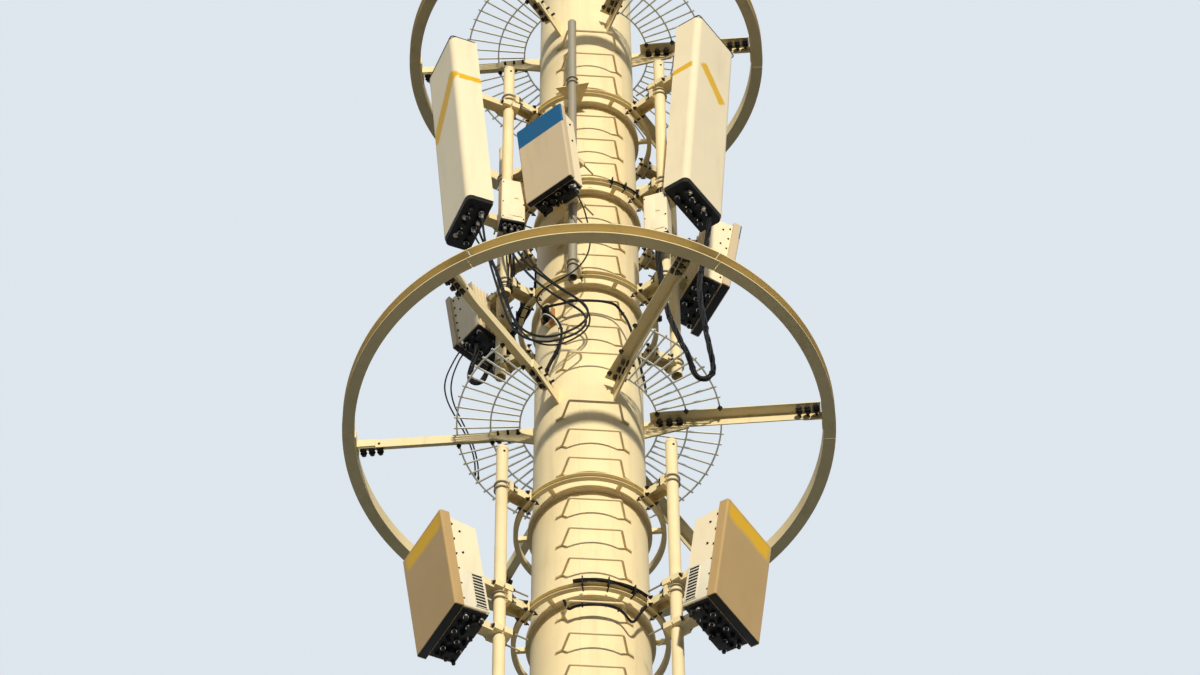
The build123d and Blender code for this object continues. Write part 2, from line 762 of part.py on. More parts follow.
for name, azimuths, hoop_levels, end_below_hoop in (
        ("lower", lower_pipe_azimuths, lower_hoop_levels, lower_pipe_end_below_hoop),
        ("upper", upper_pipe_azimuths, upper_hoop_levels, upper_pipe_end_below_hoop)):
    for place, level in zip(("top", "middle", "bottom"), hoop_levels):
        save(f"{name}_tier_{place}_hoop", [hoop(level)])
    save(f"{name}_mount_pipes", mount_pipes(azimuths, hoop_levels, end_below_hoop))
    save(f"{name}_pipe_brackets", [pipe_bracket(azimuth, level)
                                   for azimuth in azimuths for level in hoop_levels])

front_pipe_spot = polar(front_pipe_circle_radius, front_pipe_azimuth)
save("front_pipe", [Pos(*front_pipe_spot) * tube(
    front_pipe_radius, front_pipe_wall, min(upper_hoop_levels) - front_pipe_end_below_hoop,
    max(upper_hoop_levels) + front_pipe_top_above_hoop)])
save("front_pipe_clamps", [front_clamp(level) for level in upper_hoop_levels])

# Panel antennas on the left and right pipes of the upper tier.
panel_places, panel_clamps = [], []
for pipe_azimuth, azimuth, above_hoop, distance, clamp_drop in (
        (left_pipe_azimuth, panel_left_azimuth, panel_left_above_hoop,
         panel_left_distance, panel_left_clamp_drop),
        (right_pipe_azimuth, panel_right_azimuth, panel_right_above_hoop,
         panel_right_distance, panel_right_clamp_drop)):
    pipe = pipe_place(pipe_azimuth)
    level = upper_hoop_levels[1] + above_hoop
    place = face_frame(pipe, azimuth, level, distance, panel_tilt)
    panel_places.append(place)
    body = place * Box(2 * panel_depth, panel_width, panel_length, align=Align.CENTER)
    clamp_levels = [level - clamp_drop + side * panel_clamp_spacing / 2 for side in (-1, 1)]
    panel_clamps += clamp_set(pipe, pipe_radius, azimuth, clamp_levels, distance, body)
save("panel_radomes", [place * panel_radome() for place in panel_places])
save("panel_end_caps", [place * panel_end_cap() for place in panel_places])
save("panel_clamps", panel_clamps)


@dataclass
class ActiveAntenna:
    """Active antenna on a pipe: where it hangs, where it looks and its sizes."""
    pipe: tuple
    pipe_radius: float
    azimuth: float
    level: float
    distance: float
    tilt: float
    width: float
    length: float
    radome_depth: float
    body_depth: float
    clamp_share: float

    def place(self):
        """Frame at the middle of its face."""
        return face_frame(self.pipe, self.azimuth, self.level, self.distance, self.tilt)

    def radome(self):
        """Flat cover in front."""
        return self.place() * active_radome(self.width, self.length, self.radome_depth)

    def body(self):
        """Finned casting behind the cover."""
        return self.place() * active_body(self.width, self.length, self.radome_depth, self.body_depth)

    def clamps(self):
        """Two clamp sets that hold it on its pipe."""
        depth = self.radome_depth + self.body_depth
        envelope = self.place() * Box(2 * depth, self.width, self.length, align=Align.CENTER)
        levels = [self.level + side * self.length * self.clamp_share for side in (-1, 1)]
        return clamp_set(self.pipe, self.pipe_radius, self.azimuth, levels, self.distance, envelope)

    def underside(self, depth, offset):
        """Frame under the body, a depth behind the face."""
        return self.place() * Pos(-depth, offset, body_inset - self.length / 2)


large = (active_width, active_length, active_radome_depth, active_body_depth, clamp_share)
small = (small_width, small_length, small_radome_depth, small_body_depth, small_clamp_share)
narrow = (rear_left_width, rear_left_length, rear_left_radome_depth, rear_left_body_depth, clamp_share)
lower_level = lower_hoop_levels[1] - active_centre_below_hoop
middle_hoop = upper_hoop_levels[1]
lower_units = [
    ActiveAntenna(pipe_place(pipe_azimuth), pipe_radius, azimuth, lower_level,
                  active_face_distance, active_tilt, *large)
    for pipe_azimuth, azimuth in ((left_pipe_azimuth, active_left_azimuth),
                                  (right_pipe_azimuth, active_right_azimuth),
                                  (lower_rear_pipe_azimuth, lower_rear_pipe_azimuth))]
front_unit = ActiveAntenna(
    front_pipe_spot, front_pipe_radius, small_azimuth, middle_hoop - small_centre_below_hoop,
    small_face_distance, small_tilt, *small)
rear_left_unit = ActiveAntenna(
    pipe_place(rear_left_pipe_azimuth), pipe_radius, rear_left_azimuth,
    middle_hoop - rear_left_below_hoop, rear_left_distance, active_tilt, *narrow)
rear_right_unit = ActiveAntenna(
    pipe_place(rear_right_pipe_azimuth), pipe_radius, rear_right_pipe_azimuth,
    middle_hoop + rear_right_above_hoop, rear_right_distance, active_tilt, *large)
for name, units in (("lower", lower_units), ("front", [front_unit]),
                    ("rear", [rear_left_unit, rear_right_unit])):
    save(f"{name}_radomes", [unit.radome() for unit in units])
    save(f"{name}_antenna_bodies", [unit.body() for unit in units])
    save(f"{name}_antenna_clamps", [piece for unit in units for piece in unit.clamps()])

# Radio units on the camera side of the upper pipes.
radio_places, radio_clamps = [], []
for pipe_azimuth, azimuth, above_hoop in (
        (left_pipe_azimuth, radio_left_azimuth, radio_left_above_lowest),
        (right_pipe_azimuth, radio_right_azimuth, radio_right_above_lowest)):
    pipe = pipe_place(pipe_azimuth)
    radio_level = min(upper_hoop_levels) + above_hoop
    distance = pipe_radius + radio_gap + radio_depth
    place = face_frame(pipe, azimuth, radio_level, distance, 0)
    radio_places.append(place)
    block = place * Box(2 * radio_depth, radio_width, radio_length, align=Align.CENTER)
    clamp_levels = (radio_level - radio_length / 4, radio_level + radio_length / 4)
    radio_clamps += clamp_set(pipe, pipe_radius, azimuth, clamp_levels, distance, block)
save("radio_units", [radio_unit(place) for place in radio_places])
save("radio_clamps", radio_clamps)
save("cable_port", [cable_port()])
save("port_seal", [port_seal()])


def panel_seat(place, row, spot):
    """Frame on the tip of one connector of a panel, counted from the middle one."""
    return place * Pos(-panel_depth / 2 + row * connector_row_gap / 2, spot * connector_pitch,
                       -panel_length / 2 - panel_cap_length - connector_length)


def radio_seat(place, offset):
    """Frame on the foot of a radio unit."""
    return place * Pos(-radio_depth / 2, offset, -radio_length / 2 - radio_lip)


# Free cables: three loops from the left radio to the left panel, one from the
# front unit to the port and two from the rear left unit to the grille.
panel_left, panel_right = panel_places
radio_left, radio_right = radio_places
grille_top = ring_level + channel_height / 2 + grille_bar
for name, diameter, offset, radio_run, corners, panel_run, connector in radio_loops:
    route = [*leaving(radio_seat(radio_left, offset), radio_run), *corners,
             *reversed(leaving(panel_seat(panel_left, -1, connector), panel_run))]
    save(f"radio_loop_cable_{name}", [cable(f"radio_loop_cable_{name}", diameter, route)])
first_run, last_run = front_cable_runs
route = [*leaving(front_unit.underside(*front_cable_seat), first_run), *front_unit_corners,
         *reversed(leaving(seal_seat(front_cable_port_offset), last_run))]
save("front_unit_cable", [cable("front_unit_cable", thin_cable_diameter, route)])
for name, offset, corners, end in hanging_cables:
    route = [*leaving(rear_left_unit.underside(hanging_cable_depth, offset), hanging_cable_run),
             *corners, (*end, grille_top)]
    save(f"left_hanging_cable_{name}", [cable(f"left_hanging_cable_{name}", thin_cable_diameter, route)])

# Cables tied together or to the tower.
first_run, last_run = right_loop_runs
route = [*leaving(panel_seat(panel_right, 1, right_loop_connector), first_run), *right_loop_corners,
         *reversed(leaving(radio_seat(radio_right, 0), last_run))]
save("right_loop_tied_bundle", [cable("right_loop_tied_bundle", bundle_diameter, route)])
route = [*leaving(rear_left_unit.underside(*left_drop_seat), left_drop_run), *left_drop_corners,
         (*left_drop_end, middle_hoop - hoop_height / 2)]
save("left_drop_tied_bundle", [cable("left_drop_tied_bundle", bundle_diameter, route)])
save("hoop_tied_cables", [hoop_bundle(lower_hoop_levels[1])])

# The port's cable is tied under the front bar of the rung beside the port.
port_rung = max(level for level in levels if level < port_level)
under_bar = port_rung - rung_bar_radius - port_cable_diameter / 2 - tie_gap
reach = pole_radius(port_rung) + rung_standoff + port_cable_forward
bar = frame_at((0, 0, under_bar), rung_azimuth)
held = [(bar * Pos(reach, side * port_cable_held / 2, 0)).position for side in (-1, 1)]
route = [*leaving(seal_seat(port_cable_offset), port_cable_run),
         *(polar(*place) for place in port_right_places), *held,
         *(polar(*place) for place in port_right_falls[:-1]), polar(*port_right_falls[-1], grille_top)]
port_right = cable("port_cable_right", port_cable_diameter, route)
route = [*leaving(seal_seat(port_bundle_offset), port_cable_run),
         *(polar(*place) for place in port_down_places[:-1]),
         polar(*port_down_places[-1], grille_top)]
port_down = cable("port_cable_down", port_bundle_diameter, route)
save("port_tied_cables", [port_right, port_down])
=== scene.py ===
"""Cell tower: looks, small parts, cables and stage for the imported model.

Metres, +Z up, origin at the centre of the underside of the base flange. The
climbing rungs face -Y, and the camera stands on the ground on that side.
"""
import json
from functools import lru_cache
from math import asin, atan2, copysign, cos, hypot, pi, radians, sin, tan

import bmesh
import bpy
from bpy.props import FloatProperty, FloatVectorProperty, PointerProperty
from mathutils import Matrix, Vector

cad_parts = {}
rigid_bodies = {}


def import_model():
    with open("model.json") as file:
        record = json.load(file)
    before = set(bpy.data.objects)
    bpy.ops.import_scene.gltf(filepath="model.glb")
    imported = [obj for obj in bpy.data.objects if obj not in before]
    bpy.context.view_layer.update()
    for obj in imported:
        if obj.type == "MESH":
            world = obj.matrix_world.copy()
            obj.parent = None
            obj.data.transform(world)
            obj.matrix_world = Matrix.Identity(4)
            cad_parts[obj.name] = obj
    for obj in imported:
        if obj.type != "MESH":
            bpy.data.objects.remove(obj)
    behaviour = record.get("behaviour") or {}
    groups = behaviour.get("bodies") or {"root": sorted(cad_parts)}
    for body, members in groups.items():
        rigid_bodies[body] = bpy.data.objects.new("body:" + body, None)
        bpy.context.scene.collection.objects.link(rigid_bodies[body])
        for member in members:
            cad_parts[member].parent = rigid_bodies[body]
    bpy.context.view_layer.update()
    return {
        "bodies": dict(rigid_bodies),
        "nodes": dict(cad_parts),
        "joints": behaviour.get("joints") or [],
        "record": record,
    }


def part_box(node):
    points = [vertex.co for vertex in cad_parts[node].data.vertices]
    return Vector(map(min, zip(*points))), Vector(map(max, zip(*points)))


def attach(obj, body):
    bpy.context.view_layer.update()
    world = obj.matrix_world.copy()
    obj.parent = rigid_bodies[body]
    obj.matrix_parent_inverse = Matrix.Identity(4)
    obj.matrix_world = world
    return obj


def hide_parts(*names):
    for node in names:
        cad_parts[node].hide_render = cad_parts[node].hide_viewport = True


bl_info = {
    "name": "Cell tower dressing",
    "version": (1, 0, 0),
    "blender": (4, 5, 0),
    "location": "3D View > Sidebar > Tower",
    "description": "Finishes, fasteners, cables and stage for a two-tier cell tower",
    "category": "Object",
}

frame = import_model()
NODES = frame["nodes"]
UP = Vector((0, 0, 1))

# Edges sharper than this stay crisp.
SHARP_ANGLE = radians(35)

# Sizes of the model that the added pieces meet, in metres.
ANCHORS = 16
ANCHOR_CIRCLE = 0.610
RING_JOINT_TURN = radians(5.5)
CHANNEL_DEPTH = 0.080
CHANNEL_WEB = 0.006
HOOP_DEPTH = 0.030
BRACKET_SADDLE = 0.015
FRONT_SADDLE = 0.060
PORT_WALL = 0.011
CONNECTOR_ROW = 0.075
CONNECTOR_PITCH = 0.066
PANEL_STUD = 0.042
PANEL_CORNER = 0.045

# Bolts of the arms: distance of the first from the arm's end and the step to the next, for the
# row at the pole and the row at the ring, then the two faces the bolts stand on and their level
# as a share of the arm's height.
FOOT_ROW = (0.060, 0.065)
RING_ROW = (0.030, 0.055)
LUG_FACE = 0.012
ARM_FACE = 0.007
ROW_LEVEL = 0.42

# Clips that hold a grille down on an arm: distances from the pole's axis, and to the side.
GRILLE_CLIPS = (0.450, 0.640, 0.860)
CLIP_SIDE = 0.05

# Plate across a joint of a ring, and where its bolts are to each side of the joint.
SPLICE = (0.006, 0.17, 0.080)
SPLICE_BOLTS = (0.025, 0.062)

# Plate behind a bracket, and its bolts to each side of the middle and above and below it.
BACK_PLATE = (0.008, 0.104, 0.090)
BRACKET_BOLTS = (0.047, 0.034)
U_BOLT_RISE = 0.024

# Screws in the sides of the flat antennas: distance behind the cover and shares of the height.
SCREW_ROWS = ((0.016, [0.08 + 0.84 * index / 5 for index in range(6)]), (0.065, (0.62, 0.86)))

# Side vents of the lower antennas: size of the vent, height of the plate round it, and slats.
VENT_HEIGHT = 0.29
VENT_DEPTH = 0.080
VENT_PLATE = 0.33
VENT_SLATS = 11

# Tilt arms: how far their level is below the body's top and how far each is to the side, then
# start, elbow and end, out from the body's back and up from that level.
TILT_ARM_DROP = 0.16
TILT_ARM_SIDE = 0.042
TILT_ARM = ((0.01, 0.05), (-0.055, 0.012), (-0.105, -0.05))

# Painted marks: depth of the teal bands, and rows for the yellow strokes of the tall panels.
# A row has the side of the face that is lit, then for the slanting stroke its width and how far
# its ends lie from the lit edge and above the middle, then the levels of the thin side stroke.
TEAL_BAND = 0.18
PANEL_STROKES = (
    (1, 0.135, (0.030, 0.54), (0.40, 0.14), (0.44, 0.50)),
    (-1, 0.095, (0.090, 0.46), (0.330, 0.24), (0.35, 0.41)),
)

# Tied bundles: node, cables round the middle one, and where along it the straps are.
TIED_BUNDLES = (
    ("right_loop_tied_bundle", 6, (0.16, 0.3, 0.47, 0.62, 0.8)),
    ("left_drop_tied_bundle", 6, (0.2, 0.42, 0.6, 0.78, 0.93)),
)
# Cables out of the port: route, radius of its straps as a share of a cable, and their places.
PORT_STRAPS = (
    ("port_cable_right", 1.15, (0.35, 0.52, 0.72, 0.92)), ("port_cable_down", 1.55, (0.45, 0.7, 0.9)),
)
# Bundle on the lower tier's middle hoop: its thickness, first and last azimuth.
HOOP_BUNDLE = 0.030
HOOP_BUNDLE_ENDS = (258, 313)

# Short runs on the hoops: node, first and last azimuth, cables round the middle one.
UPPER_HOOP_RUNS = (
    ("upper_tier_bottom_hoop", 184, 208, 4), ("upper_tier_bottom_hoop", 327, 352, 4),
    ("upper_tier_middle_hoop", 288, 318, 2),
)

# Cables strapped to two mount pipes: which pipe from the front, azimuth of the middle cable,
# then their foot above the pipe's, their length, number, turn to the next and strap places.
PIPE_RUNS = ((0, 200), (-1, 330))
PIPE_RUN_FOOT = 0.04
PIPE_RUN = 1.1
PIPE_STRANDS = 7
PIPE_STRAND_TURN = 0.27
PIPE_STRAPS = (0.01, 0.5, 0.99)

# Specular level of weathered paint, plastic and rubber.
SHEEN = 0.2

# Linear colours of the warm key light and the cooler light from above.
KEY_LIGHT = (1.0, 0.94, 0.82)
SKY_LIGHT = (0.86, 0.93, 1.0, 1)

# Azimuths of the long weld seams of the lower, middle and upper pole sections.
SEAMS = (300, 215, 260.5)

# Free cables: node, diameter, length and whether the far end has a plug too.
FREE_CABLES = (
    ("radio_loop_cable_a", 0.016, 3.213, True),
    ("radio_loop_cable_b", 0.016, 2.952, True),
    ("radio_loop_cable_c", 0.012, 2.967, True),
    ("front_unit_cable", 0.011, 1.371, False),
    ("left_hanging_cable_a", 0.011, 1.467, False),
    ("left_hanging_cable_b", 0.011, 1.459, False),
)

# Points that the cables and bundles follow, from the end where each starts.
ROUTES = {
    "radio_loop_cable_a": (
        (-0.5529, -0.5433, 26.071), (-0.5529, -0.5433, 25.941), (-0.528, -0.575, 25.79),
        (-0.487, -0.6, 25.638), (-0.419, -0.62, 25.447), (-0.319, -0.63, 25.271),
        (-0.208, -0.63, 25.134), (-0.104, -0.63, 25.031), (-0.026, -0.61, 24.969),
        (-0.007, -0.59, 24.885), (-0.059, -0.57, 24.814), (-0.15, -0.56, 24.763),
        (-0.254, -0.55, 24.734), (-0.357, -0.54, 24.76), (-0.448, -0.54, 24.828),
        (-0.514, -0.54, 24.962), (-0.549, -0.54, 25.13), (-0.583, -0.55, 25.286),
        (-0.618, -0.562, 25.457), (-0.648, -0.552, 25.629), (-0.676, -0.562, 25.805),
        (-0.6972, -0.5876, 25.9854), (-0.7087, -0.5927, 26.1349)),
    "radio_loop_cable_b": (
        (-0.5092, -0.5324, 26.071), (-0.5092, -0.5324, 25.941), (-0.488, -0.56, 25.817),
        (-0.448, -0.57, 25.692), (-0.374, -0.58, 25.526), (-0.275, -0.58, 25.399),
        (-0.176, -0.58, 25.283), (-0.084, -0.58, 25.191), (-0.013, -0.56, 25.128),
        (0.006, -0.54, 25.044), (-0.046, -0.52, 24.961), (-0.138, -0.51, 24.898),
        (-0.241, -0.5, 24.858), (-0.346, -0.49, 24.884), (-0.437, -0.48, 24.977),
        (-0.497, -0.48, 25.112), (-0.531, -0.485, 25.282), (-0.566, -0.5, 25.453),
        (-0.601, -0.485, 25.626), (-0.643, -0.475, 25.789), (-0.69, -0.495, 25.93),
        (-0.7279, -0.529, 26.0352), (-0.7355, -0.5324, 26.1349)),
    "radio_loop_cable_c": (
        (-0.4656, -0.5215, 26.071), (-0.4656, -0.5215, 25.949), (-0.414, -0.52, 25.785),
        (-0.349, -0.518, 25.63), (-0.269, -0.52, 25.498), (-0.183, -0.53, 25.375),
        (-0.098, -0.53, 25.272), (-0.02, -0.515, 25.183), (0.019, -0.495, 25.08),
        (-0.008, -0.475, 24.967), (-0.093, -0.465, 24.882), (-0.19, -0.455, 24.831),
        (-0.294, -0.445, 24.846), (-0.386, -0.435, 24.928), (-0.458, -0.432, 25.058),
        (-0.51, -0.44, 25.205), (-0.548, -0.45, 25.355), (-0.582, -0.452, 25.51),
        (-0.612, -0.46, 25.67), (-0.655, -0.455, 25.82), (-0.705, -0.455, 25.945),
        (-0.7555, -0.469, 26.0452), (-0.7624, -0.4721, 26.1349)),
    "front_unit_cable": (
        (-0.0861, -0.7541, 26.2597), (-0.0786, -0.7449, 26.1806), (-0.026, -0.69, 26.085),
        (0, -0.66, 25.95), (0.02, -0.64, 25.815), (0.014, -0.625, 25.675), (-0.022, -0.615, 25.555),
        (-0.08, -0.605, 25.465), (-0.15, -0.59, 25.405), (-0.23, -0.56, 25.382), (-0.3, -0.51, 25.378),
        (-0.341, -0.44, 25.382), (-0.3291, -0.3468, 25.4322), (-0.2777, -0.2926, 25.44)),
    "left_hanging_cable_a": (
        (-0.8527, 0.3389, 25.9727), (-0.8455, 0.3313, 25.9035), (-0.885, 0.345, 25.84),
        (-0.928, 0.37, 25.74), (-0.962, 0.39, 25.64), (-0.973, 0.402, 25.527), (-0.95, 0.412, 25.394),
        (-0.908, 0.42, 25.273), (-0.858, 0.428, 25.15), (-0.812, 0.43, 25.02), (-0.778, 0.426, 24.885),
        (-0.757, 0.42, 24.755), (-0.75, 0.418, 24.66), (-0.75, 0.42, 24.5685)),
    "left_hanging_cable_b": (
        (-0.8234, 0.3662, 25.9727), (-0.8163, 0.3586, 25.9035), (-0.862, 0.362, 25.84),
        (-0.897, 0.385, 25.745), (-0.922, 0.402, 25.645), (-0.93, 0.418, 25.531),
        (-0.91, 0.43, 25.398), (-0.87, 0.442, 25.277), (-0.825, 0.452, 25.15), (-0.782, 0.46, 25.02),
        (-0.752, 0.462, 24.885), (-0.735, 0.458, 24.755), (-0.73, 0.453, 24.66),
        (-0.73, 0.455, 24.5685)),
    "right_loop_tied_bundle": (
        (0.8204, -0.4759, 26.2186), (0.8123, -0.47, 26.099), (0.8, -0.5, 25.95),
        (0.782, -0.532, 25.77), (0.756, -0.56, 25.562), (0.729, -0.59, 25.325), (0.73, -0.615, 25.108),
        (0.744, -0.635, 24.901), (0.759, -0.65, 24.703), (0.773, -0.66, 24.524),
        (0.788, -0.665, 24.387), (0.795, -0.67, 24.29), (0.785, -0.672, 24.2), (0.751, -0.674, 24.15),
        (0.699, -0.68, 24.15), (0.667, -0.684, 24.206), (0.655, -0.686, 24.29), (0.635, -0.688, 24.39),
        (0.6, -0.685, 24.525), (0.559, -0.66, 24.703), (0.524, -0.63, 24.9), (0.502, -0.6, 25.099),
        (0.493, -0.57, 25.311), (0.48, -0.555, 25.511), (0.4699, -0.572, 25.711),
        (0.4699, -0.572, 25.841)),
    "left_drop_tied_bundle": (
        (-0.7613, 0.3363, 25.9824), (-0.7511, 0.3253, 25.8835), (-0.775, 0.362, 25.775),
        (-0.812, 0.41, 25.665), (-0.78, 0.424, 25.612), (-0.722, 0.424, 25.62), (-0.688, 0.41, 25.705),
        (-0.645, 0.388, 25.815), (-0.592, 0.366, 25.925), (-0.538, 0.345, 26.022),
        (-0.475, 0.335, 26.125), (-0.424, 0.325, 26.25), (-0.384, 0.308, 26.385),
        (-0.356, 0.29, 26.52), (-0.351, 0.285, 26.62), (-0.35, 0.284, 26.723)),
    "port_cable_right": (
        (-0.2752, -0.29, 25.4052), (-0.306, -0.3225, 25.4005), (-0.2958, -0.3653, 25.378),
        (-0.233, -0.4036, 25.345), (-0.1682, -0.4271, 25.331), (-0.0951, -0.4589, 25.3317),
        (0.1642, -0.439, 25.3317), (0.2136, -0.4017, 25.29), (0.257, -0.367, 25.215),
        (0.2893, -0.3328, 25.125), (0.3129, -0.3022, 25.025), (0.3294, -0.2764, 24.92),
        (0.3418, -0.2576, 24.815), (0.3623, -0.2584, 24.7), (0.3686, -0.2581, 24.5685)),
    "port_cable_down": (
        (-0.2709, -0.2854, 25.3456), (-0.3017, -0.3179, 25.3409), (-0.282, -0.3609, 25.312),
        (-0.2383, -0.3888, 25.25), (-0.1954, -0.392, 25.17), (-0.1742, -0.3822, 25.08),
        (-0.1829, -0.3669, 24.975), (-0.2091, -0.355, 24.88), (-0.2455, -0.3506, 24.79),
        (-0.2746, -0.3515, 24.69), (-0.2832, -0.3497, 24.5685)),
}


# Colours are written as they look, and shaders take them as linear values.

def linear(colour):
    """Linear RGBA of a colour given in 0 to 255 display values."""
    parts = [channel / 255 for channel in colour]
    return tuple(c / 12.92 if c <= 0.04045 else ((c + 0.055) / 1.055) ** 2.4 for c in parts) + (1.0,)


def tint(name, description, colour):
    """Colour property with a display colour as its default."""
    return FloatVectorProperty(name=name, description=description, subtype="COLOR",
                               size=4, min=0, max=1, default=linear(colour))


def size(name, description, default):
    """Length property in metres."""
    return FloatProperty(name=name, description=description, unit="LENGTH", min=0, default=default)


def angle(name, description, default):
    """Angle property in radians, shown in degrees."""
    return FloatProperty(name=name, description=description, subtype="ANGLE", default=default)


def power(name, description, default):
    """Property for how strong a light is."""
    return FloatProperty(name=name, description=description, min=0, default=default)


class TowerFinishes(bpy.types.PropertyGroup):
    cream: tint("Pole paint", "Cream paint of the pole and rungs", (246, 226, 178))
    ring: tint("Ring paint", "Cream paint of rings, arms and lugs", (236, 218, 170))
    hoop: tint("Hoop paint", "Cream paint of hoops, brackets and clamps", (238, 220, 172))
    # The grime colour paints real dirt in streaks, specks and stains, and on painted steel also painted
    # shade on undersides.
    grime_and_shade: tint("Grime", "Dirt that gathers in corners and on undersides", (92, 76, 50))
    rust: tint("Rust", "Light rust at bolts and cut edges", (150, 92, 44))
    zinc: tint("Galvanised steel", "Front pipe, rods and U-bolts", (158, 149, 128))
    grille: tint("Grille bars", "Lighter galvanised steel of the grilles", (208, 205, 192))
    cover: tint("Panel cover", "Moulded cover of the tall panel antennas", (244, 228, 192))
    flat_cover: tint("Flat cover", "Flat radome of the lower antennas", (188, 156, 104))
    grey_cover: tint("Front cover", "Flat radome of the front and rear antennas", (206, 186, 152))
    casting: tint("Casting", "Painted cast housings", (244, 228, 192))
    plastic: tint("Black plastic", "End caps and connector plates", (16, 15, 15))
    rubber: tint("Cable jacket", "Black jackets of cables", (11, 11, 12))
    bolt: tint("Blackened bolts", "Bolts, nuts and washers on the arms", (46, 38, 28))
    metal: tint("Bright connector", "Plated connectors on the cables", (206, 202, 190))
    pale: tint("Pale plastic", "Plugs, plates and vents in off-white plastic", (232, 222, 196))
    teal: tint("Teal band", "Band at the top of the front and rear units' faces", (0, 88, 134))
    yellow: tint("Yellow paint", "Painted strokes on the panels and the lower covers", (228, 178, 4))
    # Wear also sets the strength of the painted shade on undersides of painted steel.
    wear: FloatProperty(name="Wear", description="Strength of dirt, streaks and chips",
                        subtype="FACTOR", min=0, max=1, default=0.6)


class TowerSizes(bpy.types.PropertyGroup):
    rung_bar: size("Rung bar", "Diameter of the rung bar", 0.016)
    rung_corner: size("Rung corner", "How far from a corner the rung starts to bend", 0.024)
    rung_foot: size("Rung foot", "Length of the rung's feet along the pole", 0.040)
    rung_lean: size("Rung lean", "How far the legs of a rung lean inward", 0.033)
    arm_bolt: size("Arm bolt", "Across the corners of the bolt heads on the arms", 0.034)
    arm_bolt_end: size("Arm bolt end", "Free thread of the bolts on the arms", 0.030)
    clamp_nut: size("Clamp nut", "Across the corners of the nuts on the clamps", 0.021)
    clamp_rod: size("Clamp rod", "Diameter of the threaded rods and U-bolts", 0.012)
    rod_overhang: size("Rod overhang", "Free end of a threaded rod behind its nut", 0.085)
    anchor_bolt: size("Anchor bolt", "Diameter of the anchor bolts", 0.036)
    cover_screw: size("Cover screw", "Across the corners of the screws round the covers", 0.012)
    connector: size("Connector", "Diameter of a cable connector", 0.026)
    grille_bar: size("Grille bar", "Thickness of the bars of the grilles", 0.010)
    strand: size("Bundle strand", "Diameter of the cables in the large bundles", 0.0125)
    thin_strand: size("Thin strand", "Diameter of the cables at the port and on the hoop", 0.009)
    strap: size("Strap", "Width of the straps round the bundles", 0.010)
    weld: size("Weld", "Width of the weld beads on the pole", 0.007)


class TowerStage(bpy.types.PropertyGroup):
    eye: FloatVectorProperty(name="Eye", description="Place of the camera", subtype="XYZ",
                             unit="LENGTH", size=3, default=(0, -17.317, 1.6))
    pitch: angle("Pitch", "How far the camera looks up", radians(54.119))
    yaw: angle("Yaw", "How far the camera looks to the right of +Y", 0.0045)
    roll: angle("Roll", "Turn about the line of sight", -0.0118)
    lens: FloatProperty(name="Lens", description="Focal length on a 36 mm sensor, in millimetres",
                        default=132.75)
    floor: size("Floor", "Radius of the floor", 12)
    paper: tint("Backdrop", "Colour of the backdrop and floor", (222, 230, 238))
    key: power("Key light", "Strength of the soft key light", 3.5)
    fill: power("Fill light", "Strength of the light from above and the sides", 0.55)
    bounce: power("Bounce light", "Strength of the light from below", 0.03)
    key_azimuth: angle("Key azimuth", "Where the key light stands", radians(278))
    key_height: angle("Key height", "Elevation of the key light", radians(15))
    key_spread: angle("Key spread", "How soft the key light is", radians(3))


# Reading the frame.

class Solid:
    """One loose solid of a CAD node, with a frame of its own."""

    def __init__(self, corners, faces):
        self.corners = corners
        self.faces = faces
        self.low = Vector([min(c[axis] for c in corners) for axis in range(3)])
        self.high = Vector([max(c[axis] for c in corners) for axis in range(3)])
        self.centre = (self.low + self.high) / 2
        self.azimuth = atan2(self.centre.y, self.centre.x)

    def place(self, hint):
        """Frame at the middle of the solid's widest upright face that looks towards the hint."""
        areas, hint = {}, hint.normalized()
        for normal, area in self.faces:
            if normal.dot(hint) > 0.2 and abs(normal.z) < 0.5:
                key = tuple(round(part, 2) for part in normal)
                total, weighted = areas.get(key, (0, Vector()))
                areas[key] = (total + area, weighted + normal * area)
        outward = max(areas.values(), key=lambda entry: entry[0])[1].normalized()
        side = UP.cross(outward).normalized()
        turn = Matrix((outward, side, outward.cross(side))).transposed().to_4x4()
        low, high = self.within(turn)
        middle = (low + high) / 2
        return Matrix.Translation(turn @ Vector((high.x, middle.y, middle.z))) @ turn, high - low

    def within(self, place):
        """Lowest and highest corner of the solid, seen in a frame."""
        back = place.inverted()
        local = [back @ corner for corner in self.corners]
        return tuple(Vector([pick(c[axis] for c in local) for axis in range(3)]) for pick in (min, max))


@lru_cache(maxsize=None)
def solids(node):
    """The loose solids of a CAD node, left to right."""
    mesh = bmesh.new()
    mesh.from_mesh(NODES[node].data)
    bmesh.ops.remove_doubles(mesh, verts=mesh.verts, dist=1e-5)
    found, seen = [], set()
    for first in mesh.faces:
        if first in seen:
            continue
        group, queue = [], [first]
        seen.add(first)
        while queue:
            face = queue.pop()
            group.append(face)
            for edge in face.edges:
                for other in edge.link_faces:
                    if other not in seen:
                        seen.add(other)
                        queue.append(other)
        corners = {vert for face in group for vert in face.verts}
        found.append(Solid([vert.co.copy() for vert in corners],
                           [(face.normal.copy(), face.calc_area()) for face in group]))
    mesh.free()
    return sorted(found, key=lambda solid: (round(solid.centre.x, 2), solid.centre.z))


def level_of(node):
    """Middle level of a node."""
    low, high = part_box(node)
    return (low.z + high.z) / 2


def radius_of(node):
    """Outer radius of a node that is round about the pole."""
    low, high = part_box(node)
    return (high.x - low.x) / 2


def pole_radius(level):
    """Outer radius of the pole at a level, from the feet of its lower and upper sections."""
    foot, head = (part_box(f"pole_{name}_section")[0].z for name in ("lower", "upper"))
    wide, narrow = (radius_of(f"pole_{name}_section") for name in ("lower", "upper"))
    return wide + (narrow - wide) * (level - foot) / (head - foot)


def pipes(node):
    """Axis point, radius, foot and head of each upright pipe of a node."""
    return [(flat(solid.centre), (solid.high.x - solid.low.x) / 2, solid.low.z, solid.high.z)
            for solid in solids(node)]


